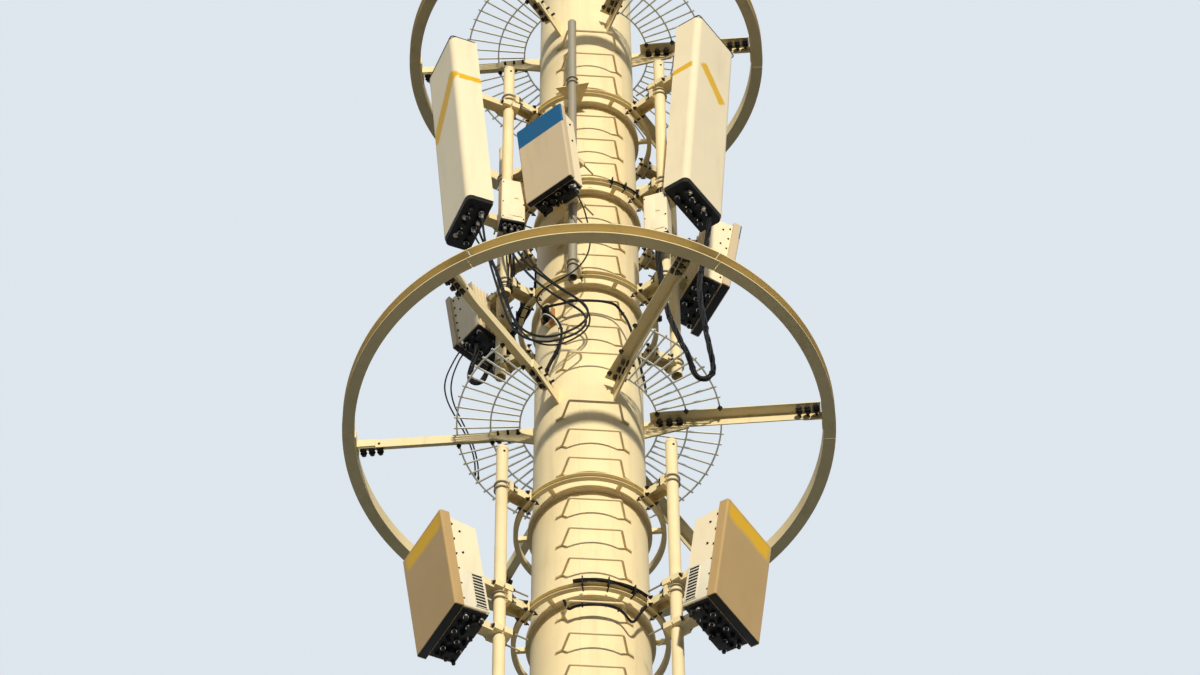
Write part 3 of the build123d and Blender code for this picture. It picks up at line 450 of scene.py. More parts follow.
def units(group):
    """Cover, body, face frame and face size of each flat antenna of a group."""
    bodies = solids(f"{group}_antenna_bodies")
    found = []
    for cover in solids(f"{group}_radomes"):
        body = min(bodies, key=lambda solid: (solid.centre - cover.centre).length)
        found.append((cover, body, *cover.place(cover.centre - body.centre)))
    return found


def polar(radius, azimuth, level=0.0):
    """Point at a radius, azimuth in radians and level."""
    return Vector((radius * cos(azimuth), radius * sin(azimuth), level))


def flat(point, level=0.0):
    """Point moved straight up or down to a level."""
    return Vector((point.x, point.y, level))


def around(radius, start, end, level, steps):
    """Points along an arc about the pole."""
    return [polar(radius, start + (end - start) * index / steps, level) for index in range(steps + 1)]


def upright(spot, azimuth):
    """Frame at a point with local X outward along an azimuth."""
    return Matrix.Translation(spot) @ Matrix.Rotation(azimuth, 4, "Z")


def along(start, end):
    """Frame at the middle of two points, with local Z from the first to the second."""
    line = end - start
    return Matrix.Translation((start + end) / 2) @ line.to_track_quat("Z", "Y").to_matrix().to_4x4()


# Making pieces.

def bar(mesh, start, end, radius, sides):
    """Round bar between two points."""
    bmesh.ops.create_cone(mesh, cap_ends=True, segments=sides, radius1=radius, radius2=radius,
                          depth=(end - start).length, matrix=along(start, end))


def block(mesh, place, extent, edge=0.0):
    """Box of an extent about a frame, its edges eased."""
    made = bmesh.ops.create_cube(mesh, size=1, matrix=place @ Matrix.Diagonal((*extent, 1)))
    if edge:
        edges = dict.fromkeys(link for vert in made["verts"] for link in vert.link_edges)
        bmesh.ops.bevel(mesh, geom=list(edges), offset=edge, offset_type="OFFSET", segments=2,
                        profile=0.5, affect="EDGES", material=-1, clamp_overlap=True)


def stud(mesh, place, radius, low, high, sides=12, tip=None):
    """Round or many-sided stud along local Z between two heights."""
    bmesh.ops.create_cone(mesh, cap_ends=True, segments=sides, radius1=radius,
                          radius2=radius if tip is None else tip, depth=high - low,
                          matrix=place @ Matrix.Translation((0, 0, (low + high) / 2)))


def bolt(mesh, place, across, reach=0.0):
    """Washer, hexagon head and, where a reach is given, the end of the thread; local Z points out."""
    washer = across * 0.12
    top = washer + across * 0.5
    stud(mesh, place, across * 0.68, 0, washer)
    stud(mesh, place, across / 2, washer, top, 6)
    if reach:
        stud(mesh, place, across * 0.27, top, top + reach, 8, across * 0.25)


def collar(mesh, place, inner, outer, height, sides=20):
    """Ring about local Z: a small outline turned all the way round."""
    outline = ((inner, -height / 2), (outer, -height / 2), (outer, height / 2), (inner, height / 2))
    verts = [mesh.verts.new(place @ Vector((radius, 0, level))) for radius, level in outline]
    edges = [mesh.edges.new(pair) for pair in zip(verts, verts[1:] + verts[:1])]
    bmesh.ops.spin(mesh, geom=verts + edges, cent=place.translation, axis=place.to_3x3() @ UP,
                   dvec=(0, 0, 0), angle=2 * pi, steps=sides, use_merge=True, use_duplicate=False)


def facing(place, axis):
    """Frame turned so that its local Z points along a local axis of another."""
    return place @ Vector(axis).to_track_quat("Z", "Y").to_matrix().to_4x4()


def shifted(place, x=0.0, y=0.0, z=0.0):
    """Frame moved along its own axes."""
    return place @ Matrix.Translation((x, y, z))


def fasten(mesh, frame, spot, axis, across, reach=0.0):
    """Bolt at a point of a frame, its head along one of the frame's axes."""
    bolt(mesh, facing(shifted(frame, *spot), axis), across, reach)


def piece(name, mesh, finish):
    """Finished piece from a bmesh: shaded, painted, riding on the tower."""
    bmesh.ops.recalc_face_normals(mesh, faces=mesh.faces)
    data = bpy.data.meshes.new(name)
    mesh.to_mesh(data)
    mesh.free()
    thing = bpy.data.objects.new(name, data)
    bpy.context.scene.collection.objects.link(thing)
    data.shade_smooth()
    data.set_sharp_from_angle(angle=SHARP_ANGLE)
    return settle(thing, finish)


def settle(thing, finish, replaced=()):
    """Give a piece its finish and its place on the tower."""
    thing.data.materials.clear()
    thing.data.materials.append(FINISHES[finish])
    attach(thing, "root")
    if replaced:
        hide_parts(*replaced)
    return thing


def spline(curve, points):
    """Add one smooth line with the points as its control points."""
    line = curve.splines.new("NURBS")
    line.points.add(len(points) - 1)
    for point, spot in zip(line.points, points):
        point.co = (*spot, 1)
    line.order_u = 3
    line.use_endpoint_u = True
    return line


def followed(route):
    """Points along the smooth line whose control points are the route's."""
    curve = bpy.data.curves.new("route", "CURVE")
    curve.dimensions = "3D"
    curve.resolution_u = 6
    spline(curve, route)
    thing = bpy.data.objects.new("route", curve)
    line = bpy.data.meshes.new_from_object(thing)
    points = [vert.co.copy() for vert in line.vertices]
    bpy.data.objects.remove(thing)
    bpy.data.curves.remove(curve)
    bpy.data.meshes.remove(line)
    return points


def strands(route, count, spread, lay=9.0, core=True):
    """Routes of cables that turn slowly about a central one; lay is the turn per metre."""
    line = followed(route)
    places = [(spread, 2 * pi * index / count) for index in range(count)] + [(0, 0)] * core
    found = [[] for _ in places]
    side, travelled = (line[1] - line[0]).orthogonal(), 0.0
    for before, spot, after in zip(line[:1] + line, line, line[1:] + line[-1:]):
        run = (after - before).normalized()
        side = (side - run * side.dot(run)).normalized()
        travelled += (spot - before).length
        for strand, (radius, start) in zip(found, places):
            turn = start + lay * travelled + 0.35 * sin(7 * travelled + 3 * start)
            strand.append(spot + (side * cos(turn) + run.cross(side) * sin(turn)) * radius)
    return found


def strap(mesh, route, share, radius, width):
    """Strap round a cable or bundle, at a share of its smooth line."""
    line = followed(route)
    index = min(int(share * len(line)), len(line) - 2)
    place = along(line[index], line[index + 1])
    collar(mesh, place, radius - 0.002, radius + 0.0015, width)
    block(mesh, shifted(place, x=radius + 0.003), (0.007, 0.006, width * 0.8))


def plug(mesh, boots, spot, towards, diameter, across):
    """Screwed cable connector and the tapered boot behind it, from a point on a face."""
    place = along(spot, towards)
    place.translation = spot
    stud(mesh, place, across / 2, 0, across * 0.9, 6)
    stud(mesh, place, across * 0.42, across * 0.9, across * 1.7, 16)
    stud(boots, place, across * 0.40, across * 1.7, across * 3.4, 16, diameter * 0.56)


def wires(name, routes, diameter, finish, replaced=(), steps=8, sides=3):
    """Smooth round wires or cables along routes of points, as one curve piece."""
    curve = bpy.data.curves.new(name, "CURVE")
    curve.dimensions = "3D"
    curve.bevel_depth = diameter / 2
    curve.bevel_resolution = sides
    curve.resolution_u = steps
    curve.use_fill_caps = True
    for route in routes:
        spline(curve, route)
    thing = bpy.data.objects.new(name, curve)
    bpy.context.scene.collection.objects.link(thing)
    return settle(thing, finish, replaced)


# Building shaders.

class Value:
    """A socket that takes part in arithmetic."""

    def __init__(self, shader, socket):
        self.shader = shader
        self.socket = socket

    def _math(self, operation, *terms, clamp=False):
        return self.shader.node("ShaderNodeMath", {"operation": operation, "use_clamp": clamp},
                                dict(enumerate(terms)))

    def __add__(self, other):
        return self._math("ADD", self, other)

    def __sub__(self, other):
        return self._math("SUBTRACT", self, other)

    def __rsub__(self, other):
        return self._math("SUBTRACT", other, self)

    def __mul__(self, other):
        return self._math("MULTIPLY", self, other)

    __radd__ = __add__
    __rmul__ = __mul__

    def most(self, other):
        return self._math("MAXIMUM", self, other)

    def clamp(self):
        return self._math("MULTIPLY", self, 1.0, clamp=True)

    def over(self, low, high):
        """Smooth mask that rises from 0 at low to 1 at high."""
        return self.shader.node("ShaderNodeMapRange", {"interpolation_type": "SMOOTHSTEP"},
                                {"Value": self, "From Min": low, "From Max": high})


class NodeTree:
    """A node tree whose nodes are added by one method."""

    def __init__(self, owner):
        owner.use_nodes = True
        self.tree = owner.node_tree
        self.tree.nodes.clear()

    def node(self, kind, settings=None, inputs=None, output=0):
        """Add a node: its settings first, then the values or links of its sockets."""
        made = self.tree.nodes.new(kind)
        for name, value in (settings or {}).items():
            setattr(made, name, value)
        for name, value in (inputs or {}).items():
            socket = made.inputs[name]
            if isinstance(value, Value):
                self.tree.links.new(value.socket, socket)
            else:
                socket.default_value = value
        return None if output is None else Value(self, made.outputs[output])


class Shader(NodeTree):
    """A material with one principled surface."""

    def __init__(self, name):
        self.material = bpy.data.materials.new(name)
        super().__init__(self.material)
        self.surface = self.tree.nodes.new("ShaderNodeBsdfPrincipled")
        output = self.tree.nodes.new("ShaderNodeOutputMaterial")
        self.tree.links.new(self.surface.outputs[0], output.inputs[0])

    def set(self, **values):
        """Set or link sockets of the surface, named with underscores for spaces."""
        for name, value in values.items():
            socket = self.surface.inputs[name.replace("_", " ")]
            if isinstance(value, Value):
                self.tree.links.new(value.socket, socket)
            else:
                socket.default_value = value
        return self

    def place(self, scale=(1, 1, 1)):
        """Object coordinates, stretched by a scale."""
        coords = self.node("ShaderNodeTexCoord", output="Object")
        return self.node("ShaderNodeMapping", {}, {"Vector": coords, "Scale": scale})

    def within(self, frame, low, high, soft, ragged=0.0):
        """Mask of the box between two corners of a frame, with soft and ragged edges."""
        wobble = (self.noise(9, 5, 0.6) - 0.5) * ragged
        mask = None
        for axis, edge in enumerate((0.001, soft, soft)):
            column = frame.col[axis].to_3d()
            local = self.node("ShaderNodeVectorMath", {"operation": "DOT_PRODUCT"},
                              {0: self.place(), 1: column}, output=1)
            local = local - column.dot(frame.translation)
            if axis:
                local = local + wobble
            inside = local.over(low[axis] - edge, low[axis] + edge) * local.over(
                high[axis] + edge, high[axis] - edge)
            mask = inside if mask is None else mask * inside
        return mask

    def noise(self, scale, detail=4.0, roughness=0.55, stretch=(1, 1, 1)):
        """Cloudy pattern; scale is in features per metre."""
        return self.node("ShaderNodeTexNoise", {}, {
            "Vector": self.place(stretch), "Scale": scale, "Detail": detail, "Roughness": roughness})

    def mix(self, mask, first, second):
        """Colour between two, by a mask."""
        return self.node("ShaderNodeMix", {"data_type": "RGBA"}, {0: mask, 6: first, 7: second}, output=2)

    def bump(self, height, distance, strength):
        """Surface normal, raised and sunk by a pattern."""
        return self.node("ShaderNodeBump", {}, {
            "Height": height, "Distance": distance, "Strength": strength})

    def normal_axis(self, index):
        """One part of the surface normal."""
        geometry = self.node("ShaderNodeNewGeometry", output="Normal")
        return self.node("ShaderNodeSeparateXYZ", {}, {"Vector": geometry}, output=index)


def paint(name, colour, dirt, wear, gloss=0.45, streak=1.0, speck=1.0, marks=()):
    """Weathered paint: cloudy tone, vertical streaks, painted shade on undersides, small specks and
    marks.
    """
    shader = Shader(name)
    cloud = shader.noise(2.2, 6)
    fine = shader.noise(38, 5)
    streaks = shader.noise(9, 4, 0.6, (1, 1, 0.06))
    specks = shader.noise(120, 2, 0.5).over(0.66, 0.74)
    # Faces that look down get darker towards the grime colour: painted shade on undersides.
    under = (shader.normal_axis(2) * -1).over(0.35, 0.95)
    dark = (streaks.over(0.52, 0.78) * (0.5 * streak) + cloud.over(0.5, 0.85) * 0.35) * wear
    shade = shader.mix(cloud.over(0.3, 0.7) * 0.35, colour, [c * 0.86 for c in colour[:3]] + [1])
    # Dirt of the streaks and clouds, and the painted shade on undersides, mixed in together.
    shade = shader.mix((dark + under * (0.35 * wear)).clamp(), shade, dirt)
    shade = shader.mix(specks * (0.55 * wear * speck), shade, dirt)
    for tone, strength, *box in marks:
        shade = shader.mix(shader.within(*box) * strength, shade, tone)
    height = fine * 0.4 + shader.noise(260, 2) * 0.2
    return shader.set(Base_Color=shade, Roughness=(gloss + cloud * 0.18 + dark * 0.2).clamp(),
                      Specular_IOR_Level=SHEEN, Normal=shader.bump(height, 0.0012, 0.35))


def metal(name, colour, dirt, wear, roughness=0.5, metallic=0.35):
    """Zinc-coated steel: spangled, dulled and a little stained."""
    shader = Shader(name)
    spangle = shader.node("ShaderNodeTexVoronoi", {}, {"Vector": shader.place(), "Scale": 90},
                          output="Color")
    grain = shader.node("ShaderNodeSeparateColor", {}, {"Color": spangle})
    cloud = shader.noise(5, 6)
    stain = shader.noise(14, 5, 0.6, (1, 1, 0.1)).over(0.55, 0.8) * wear
    shade = shader.mix(grain * 0.22, colour, [c * 0.72 for c in colour[:3]] + [1])
    shade = shader.mix(stain * 0.7, shade, dirt)
    return shader.set(Base_Color=shade, Metallic=metallic,
                      Roughness=(roughness + cloud * 0.2 + stain * 0.2).clamp(),
                      Normal=shader.bump(grain * 0.3 + cloud, 0.0006, 0.3))


def moulding(name, colour, dirt, wear, roughness=0.4, grain=0.3, dust=0.3, marks=()):
    """Moulded plastic or cast paint: fine grain, faint clouding, dust and painted marks."""
    shader = Shader(name)
    cloud = shader.noise(3.5, 5)
    fine = shader.noise(420, 2)
    smear = shader.noise(7, 5, 0.6, (1, 1, 0.15)).over(0.5, 0.85) * wear
    shade = shader.mix(cloud.over(0.35, 0.75) * 0.25, colour, [c * 0.85 for c in colour[:3]] + [1])
    for tone, strength, *box in marks:
        shade = shader.mix(shader.within(*box) * strength, shade, tone)
    shade = shader.mix(smear * dust, shade, dirt)
    return shader.set(Base_Color=shade, Specular_IOR_Level=SHEEN,
                      Roughness=(roughness + cloud * 0.15 + smear * 0.15).clamp(),
                      Normal=shader.bump(fine * grain + cloud * 0.2, 0.0005, 0.4))


def panel_marks(tone):
    """Yellow strokes of the tall panels: a slanting one on the face and a thin one on the lit side."""
    marks = []
    for cover, (lit, width, *ends, levels) in zip(solids("panel_radomes"), PANEL_STROKES):
        frame, extent = cover.place(flat(cover.centre))
        half = extent.y / 2
        top, foot = (Vector((lit * (half - inset), rise)) for inset, rise in ends)
        line, middle = top - foot, (top + foot) / 2
        turn = Matrix.Rotation(-atan2(line.x, line.y), 4, "X")
        slant, reach = shifted(frame, y=middle.x, z=middle.y) @ turn, line.length / 2
        marks.append((tone, 1, slant, (-0.03, -width / 2, -reach),
                      (0.03, width / 2, reach), 0.012, 0.04))
        edges = sorted((lit * (half - 0.03), lit * (half + 0.01)))
        marks.append((tone, 1, frame, (-extent.x - 0.01, edges[0], levels[0]),
                      (-0.03, edges[1], levels[1]), 0.006, 0.03))
    return marks


def strip_marks(tone):
    """Amber strips along the top edges of the lower covers, fading downward."""
    marks = []
    for _, _, frame, extent in units("lower"):
        top = extent.z / 2
        inner = -0.4 * extent.y if frame.translation.x < 0 else -0.45 * extent.y
        marks.append((tone, 1, frame, (-0.02, inner, top - 0.13),
                      (0.01, 0.45 * extent.y, top - 0.01), 0.03, 0.05))
    return marks


def band_marks(tone):
    """Teal bands across the top of the faces of the front unit and the rear right one."""
    marks = []
    right = [unit for unit in units("rear") if unit[0].centre.x > 0]
    for _, _, frame, extent in units("front") + right:
        top = extent.z / 2
        marks.append((tone, 1, frame, (-0.012, -extent.y, top - TEAL_BAND),
                      (0.01, extent.y, top + 0.01), 0.002, 0.0))
    return marks


def port_marks(tone):
    """Rust inside the cable port's collar."""
    collar_solid, = solids("cable_port")
    frame, extent = collar_solid.place(collar_solid.centre)
    side, rise = extent.y / 2 - PORT_WALL, extent.z / 2 - PORT_WALL
    return [(tone, 0.85, frame, (-0.3, -side, -rise), (-0.001, side, rise), 0.003, 0.01)]


FINISHES = {}


def make_finishes(finishes):
    """All finishes by name."""
    def tone(name):
        return tuple(getattr(finishes, name))

    # dirt is the grime colour: real dirt everywhere, and painted shade on undersides in the paint
    # finishes.
    dirt, dust, wear = tone("grime_and_shade"), linear((150, 132, 98)), finishes.wear
    made = {
        "pole": paint("pole_paint", tone("cream"), dirt, wear * 0.55, 0.42),
        "ring": paint("ring_paint", tone("ring"), dirt, wear * 0.6, 0.5, 0.8),
        "hoop": paint("hoop_paint", tone("hoop"), dirt, wear * 0.8, 0.48),
        "port": paint("port_paint", tone("hoop"), dirt, wear, 0.5, 1.4, 1.5, port_marks(tone("rust"))),
        "zinc": metal("galvanised_steel", tone("zinc"), dirt, wear),
        "grille": metal("grille_bars", tone("grille"), dirt, wear * 0.6),
        "cover": moulding("panel_cover", tone("cover"), dirt, wear * 0.8, 0.38,
                          marks=panel_marks(tone("yellow"))),
        "flat_cover": moulding("flat_cover", tone("flat_cover"), dirt, wear, 0.42,
                               marks=strip_marks(tone("yellow"))),
        "grey_cover": moulding("front_cover", tone("grey_cover"), dirt, wear, 0.42,
                               marks=band_marks(tone("teal"))),
        "casting": moulding("cast_housing", tone("casting"), dirt, wear, 0.5, 0.8),
        "plastic": moulding("black_plastic", tone("plastic"), dust, wear, 0.5, 0.6, 0.15),
        "rubber": moulding("cable_jacket", tone("rubber"), dust, wear, 0.46, 0.4, 0.15),
        "pale": moulding("pale_plastic", tone("pale"), dirt, wear, 0.4, 0.3),
        "bolt": metal("blackened_bolts", tone("bolt"), tone("rust"), wear, 0.5, 0.6),
        "bright": metal("plated_connector", tone("metal"), dirt, wear * 0.4, 0.25, 0.95),
    }
    FINISHES.update({name: shader.material for name, shader in made.items()})


# Which finish each CAD node takes, by the first word found in its name.
NODE_FINISHES = (
    # The port seal takes black plastic: a cable seal that is also painted shade in the port's mouth.
    ("port_seal", "plastic"), ("cable_port", "port"), ("tied", "rubber"), ("cable", "rubber"),
    ("pole_", "pole"), ("rungs", "pole"), ("base_", "pole"), ("lightning_rod", "zinc"),
    ("hoop", "hoop"), ("grille", "grille"), ("ring", "ring"), ("arm_", "ring"), ("mount_pipes", "pole"),
    ("front_pipe_clamps", "hoop"), ("front_pipe", "zinc"), ("brackets", "hoop"),
    ("panel_radomes", "cover"), ("end_caps", "plastic"), ("front_radomes", "grey_cover"),
    ("rear_radomes", "grey_cover"), ("radomes", "flat_cover"), ("antenna_bodies", "casting"),
    ("radio_units", "casting"), ("clamps", "hoop"),
)


class TowerOperator(bpy.types.Operator):
    """Shared base of the tower's operators."""
    bl_options = {"REGISTER", "UNDO"}

    def execute(self, context):
        tower = context.scene.tower
        self.build(tower.finishes, tower.sizes, tower.stage)
        return {"FINISHED"}


class TOWER_OT_stage(TowerOperator):
    """Set up the camera, the floor, the soft key light and the pale surroundings"""
    bl_idname = "tower.stage"
    bl_label = "Stage"

    def build(self, finishes, sizes, stage):
        self.camera(stage)
        self.surroundings(stage)
        floor = bmesh.new()
        bmesh.ops.create_circle(floor, cap_ends=True, segments=96, radius=stage.floor,
                                matrix=Matrix.Translation((0, 0, -0.002)))
        data = bpy.data.meshes.new("floor")
        floor.to_mesh(data)
        floor.free()
        thing = bpy.data.objects.new("floor", data)
        bpy.context.scene.collection.objects.link(thing)
        shader = Shader("floor_paper")
        darker = [c * 0.93 for c in stage.paper[:3]] + [1]
        shade = shader.mix(shader.noise(0.4) * 0.15, tuple(stage.paper), darker)
        shader.set(Base_Color=shade, Roughness=0.9)
        data.materials.append(shader.material)

    def camera(self, stage):
        """Camera at the photograph's place, built from its pitch, yaw and roll."""
        forward = Vector((sin(stage.yaw) * cos(stage.pitch), cos(stage.yaw) * cos(stage.pitch),
                          sin(stage.pitch)))
        level_right = Vector((cos(stage.yaw), -sin(stage.yaw), 0))
        level_up = level_right.cross(forward)
        right = cos(stage.roll) * level_right + sin(stage.roll) * level_up
        rise = cos(stage.roll) * level_up - sin(stage.roll) * level_right
        data = bpy.data.cameras.new("camera")
        data.sensor_width = 36
        data.sensor_fit = "HORIZONTAL"
        data.lens = stage.lens
        data.clip_end = 500
        thing = bpy.data.objects.new("camera", data)
        turn = Matrix((right, rise, -forward)).transposed().to_4x4()
        thing.matrix_world = Matrix.Translation(stage.eye) @ turn
        bpy.context.scene.collection.objects.link(thing)
        bpy.context.scene.camera = thing

    def surroundings(self, stage):
        """Soft key light, and a world that is pale to the camera and dimmer from below."""
        light = bpy.data.lights.new("key_light", "SUN")
        light.energy = stage.key
        light.angle = stage.key_spread
        light.color = KEY_LIGHT
        thing = bpy.data.objects.new("key_light", light)
        towards = polar(cos(stage.key_height), stage.key_azimuth, sin(stage.key_height))
        thing.matrix_world = facing(Matrix.Translation(towards * 60), towards)
        bpy.context.scene.collection.objects.link(thing)
        world = bpy.data.worlds.new("surroundings")
        nodes = NodeTree(world)
        direction = nodes.node("ShaderNodeTexCoord", output="Generated")
        height = nodes.node("ShaderNodeSeparateXYZ", {}, {"Vector": direction}, output=2)
        strength = height.over(-0.25, 0.45) * (stage.fill - stage.bounce) + stage.bounce
        soft = nodes.node("ShaderNodeBackground", {}, {"Color": SKY_LIGHT, "Strength": strength})
        paper = nodes.node("ShaderNodeBackground", {}, {"Color": tuple(stage.paper)})
        seen = [nodes.node("ShaderNodeLightPath", output=f"Is {kind} Ray")
                for kind in ("Camera", "Glossy", "Transmission")]
        seen = seen[0].most(seen[1]).most(seen[2])
        mix = nodes.node("ShaderNodeMixShader", {}, {0: seen, 1: soft, 2: paper})
        nodes.node("ShaderNodeOutputWorld", {}, {"Surface": mix}, output=None)
        bpy.context.scene.world = world
        bpy.context.scene.view_settings.view_transform = "Standard"


class TOWER_OT_finishes(TowerOperator):
    """Make the finishes and paint every CAD node"""
    bl_idname = "tower.finishes"
    bl_label = "Finishes"

    def build(self, finishes, sizes, stage):
        make_finishes(finishes)
        for name, thing in NODES.items():
            finish = next(finish for word, finish in NODE_FINISHES if word in name)
            thing.data.materials.clear()
            thing.data.materials.append(FINISHES[finish])


class TOWER_OT_cables(TowerOperator):
    """Hang the free cables between the units, each with a plug at its start and some with one at the far
    end as well
    """
    bl_idname = "tower.cables"
    bl_label = "Free cables"

    def build(self, finishes, sizes, stage):
        for node, diameter, length, plugged in FREE_CABLES:
            route = [Vector(point) for point in ROUTES[node]]
            jacket = wires(f"{node}_jacket", [route], diameter, "rubber", [node])
            ends, boots = bmesh.new(), bmesh.new()
            across = max(sizes.connector, 1.7 * diameter)
            plug(ends, boots, route[0], route[1], diameter, across)
            if plugged:
                plug(ends, boots, route[-1], route[-2], diameter, across)
            else:
                stud(boots, facing(along(route[-2], route[-1]), (0, 0, 1)), diameter * 0.8, 0, 0.02)
            pieces = [piece(f"{node}_plugs", ends, "bright"),
                      piece(f"{node}_boots", boots, "rubber")]


class TOWER_OT_bundles(TowerOperator):
    """Lay up the tied bundles from single cables and strap them"""
    bl_idname = "tower.bundles"
    bl_label = "Tied bundles"

    def build(self, finishes, sizes, stage):
        straps = bmesh.new()
        for node, count, shares in TIED_BUNDLES:
            routes = strands(ROUTES[node], count, sizes.strand * 1.05)
            self.lay(f"{node}_strands", routes, sizes.strand, [node])
            for share in shares:
                strap(straps, ROUTES[node], share, sizes.strand * 1.6, sizes.strap)
        self.port_cables(straps, sizes)
        self.hoop_cables(straps, sizes)
        for node, first, last, count in UPPER_HOOP_RUNS:
            self.hoop_run(straps, node, radians(first), radians(last), count, sizes)
        self.rung_cable(straps, sizes)
        piece("bundle_straps", straps, "plastic")

    def lay(self, name, routes, diameter, replaced=()):
        """Black cables along their routes."""
        wires(name, routes, diameter, "rubber", replaced, steps=2, sides=2)

    def port_cables(self, straps, sizes):
        """Two tied runs out of the port, one of their cables pale."""
        thin = sizes.thin_strand
        across = strands(ROUTES["port_cable_right"], 3, thin * 0.58, core=False)
        down = strands(ROUTES["port_cable_down"], 4, thin, lay=4.0)
        pale = down.pop(-2)
        self.lay("port_strands", across + down, thin, ["port_tied_cables"])
        wires("port_pale_strand", [pale], thin, "pale", steps=2, sides=2)
        for node, radius, shares in PORT_STRAPS:
            for share in shares:
                strap(straps, ROUTES[node], share, thin * radius, sizes.strap * 0.7)

    def hoop_cables(self, straps, sizes):
        """Cables tied along the top edge of the middle hoop of the lower tier."""
        low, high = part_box("lower_tier_middle_hoop")
        outer = radius_of("lower_tier_middle_hoop")
        start, end = (radians(azimuth) for azimuth in HOOP_BUNDLE_ENDS)
        route = around(outer + HOOP_BUNDLE / 2, start, end, high.z - 0.003, 12)
        self.lay("hoop_strands", strands(route, 4, sizes.thin_strand * 0.95), sizes.thin_strand,
                 ["hoop_tied_cables"])
        level, reach = (low.z + high.z) / 2 + 0.008, outer - 0.015 + HOOP_BUNDLE / 2
        for share in (0.12, 0.45, 0.8):
            azimuth = start + (end - start) * share
            block(straps, upright(polar(reach, azimuth, level), azimuth),
                  (0.036 + HOOP_BUNDLE, sizes.strap * 0.8, 0.078), 0.003)

    def hoop_run(self, straps, node, start, end, count, sizes):
        """Cables laid round the outside of a hoop and strapped to it."""
        low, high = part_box(node)
        level, reach = (low.z + high.z) / 2, radius_of(node) + sizes.thin_strand * 1.4
        self.lay(f"{node}_strands", strands(around(reach, start, end, level, 8), count,
                                            sizes.thin_strand * 0.9, lay=4.0), sizes.thin_strand)
        for share in (0.1, 0.5, 0.9):
            azimuth = start + (end - start) * share
            block(straps, upright(polar(reach - 0.012, azimuth, level), azimuth),
                  (0.062, sizes.strap * 0.8, high.z - low.z + 0.008), 0.003)

    def rung_cable(self, straps, sizes):
        """Cables tied below the rung under that hoop, each end rising to the hoop."""
        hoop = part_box("lower_tier_middle_hoop")[0].z
        under = max(rung.centre.z for rung in solids("lower_tier_rungs") if rung.centre.z < hoop) - 0.016
        # Rows: azimuth, distance out from the pole, level.
        rows = ((248, 0.060, hoop - 0.02), (252, 0.075, under - 0.02), (258, 0.085, under),
                (266, 0.088, under), (275, 0.088, under), (283, 0.088, under), (291, 0.085, under),
                (297, 0.080, under - 0.02), (304, 0.085, under - 0.10), (310, 0.095, hoop - 0.09),
                (315, 0.105, hoop - 0.01))
        route = [polar(pole_radius(level) + reach, radians(azimuth), level)
                 for azimuth, reach, level in rows]
        self.lay("rung_strands", strands(route, 3, sizes.thin_strand * 0.6, core=False),
                 sizes.thin_strand)
        for share in (0.24, 0.62):
            strap(straps, route, share, sizes.thin_strand * 1.3, sizes.strap)


class TOWER_OT_rungs(TowerOperator):
    """Replace the rungs with bent round bars"""
    bl_idname = "tower.rungs"
    bl_label = "Climbing rungs"

    def build(self, finishes, sizes, stage):
        for node in ("shaft_rungs", "lower_tier_rungs", "upper_tier_rungs"):
            routes = [self.route(*rung.place(Vector((0, -1, 0))), sizes) for rung in solids(node)]
            wires(f"{node}_bars", routes, sizes.rung_bar, "pole", [node], steps=4)

    def route(self, place, extent, sizes):
        """Control points of one bent bar, doubled up at its corners."""
        radius = sizes.rung_bar / 2
        outward, level = place.col[0].to_3d(), place.translation.z
        seat = pole_radius(level) + radius
        toe = extent.y / 2
        knee = toe - sizes.rung_foot
        slope = asin((toe - sizes.rung_foot / 2) / pole_radius(level))
        # The foot lies along the pole's side, touching it at the middle of the foot.
        middle = seat * cos(slope), seat * sin(slope)
        front = place.translation.dot(outward) - radius
        outline = [(middle[0] - (toe - middle[1]) * tan(slope), -toe),
                   (middle[0] + (middle[1] - knee) * tan(slope), -knee),
                   (front, sizes.rung_lean - knee)]
        outline += [(x, -y) for x, y in reversed(outline)]
        frame = upright(Vector((0, 0, level)), atan2(outward.y, outward.x))
        corners = [frame @ Vector((x, y, 0)) for x, y in outline]
        points = [corners[0]]
        for before, corner, after in zip(corners, corners[1:], corners[2:]):
            towards, onward = (before - corner).normalized(), (after - corner).normalized()
            points += [corner + towards * sizes.rung_corner, corner, corner + onward * sizes.rung_corner]
        return points + corners[-1:]


class TOWER_OT_arms(TowerOperator):
    """Bolt the arms to the pole and to the rings, and clip the grilles to them"""
    bl_idname = "tower.arms"
    bl_label = "Arm bolts"

    def build(self, finishes, sizes, stage):
        mesh = bmesh.new()
        for tier in ("mid", "upper"):
            for arm in solids(f"{tier}_ring_arms"):
                outward = flat(arm.centre).normalized()
                azimuth = atan2(outward.y, outward.x)
                inner = min(hypot(c.x, c.y) for c in arm.corners)
                outer = max(c.dot(outward) for c in arm.corners)
                level = arm.low.z + ROW_LEVEL * (arm.high.z - arm.low.z)
                line = upright(Vector((0, 0, level)), azimuth)
                rows = (inner + FOOT_ROW[0], FOOT_ROW[1]), (outer - RING_ROW[0], -RING_ROW[1])
                for start, step in rows:
                    for index in range(3):
                        spot = shifted(line, start + step * index)
                        fasten(mesh, spot, (0, LUG_FACE), (0, 1, 0), sizes.arm_bolt, sizes.arm_bolt_end)
                        fasten(mesh, spot, (0, -ARM_FACE), (0, -1, 0), sizes.arm_bolt)
                leaf = upright(Vector((0, 0, arm.high.z - ARM_FACE)), azimuth)
                for reach in GRILLE_CLIPS:
                    fasten(mesh, leaf, (reach, -CLIP_SIDE), (0, 0, -1), sizes.arm_bolt * 0.7,
                           sizes.arm_bolt_end * 0.5)
        piece("arm_bolts", mesh, "bolt")


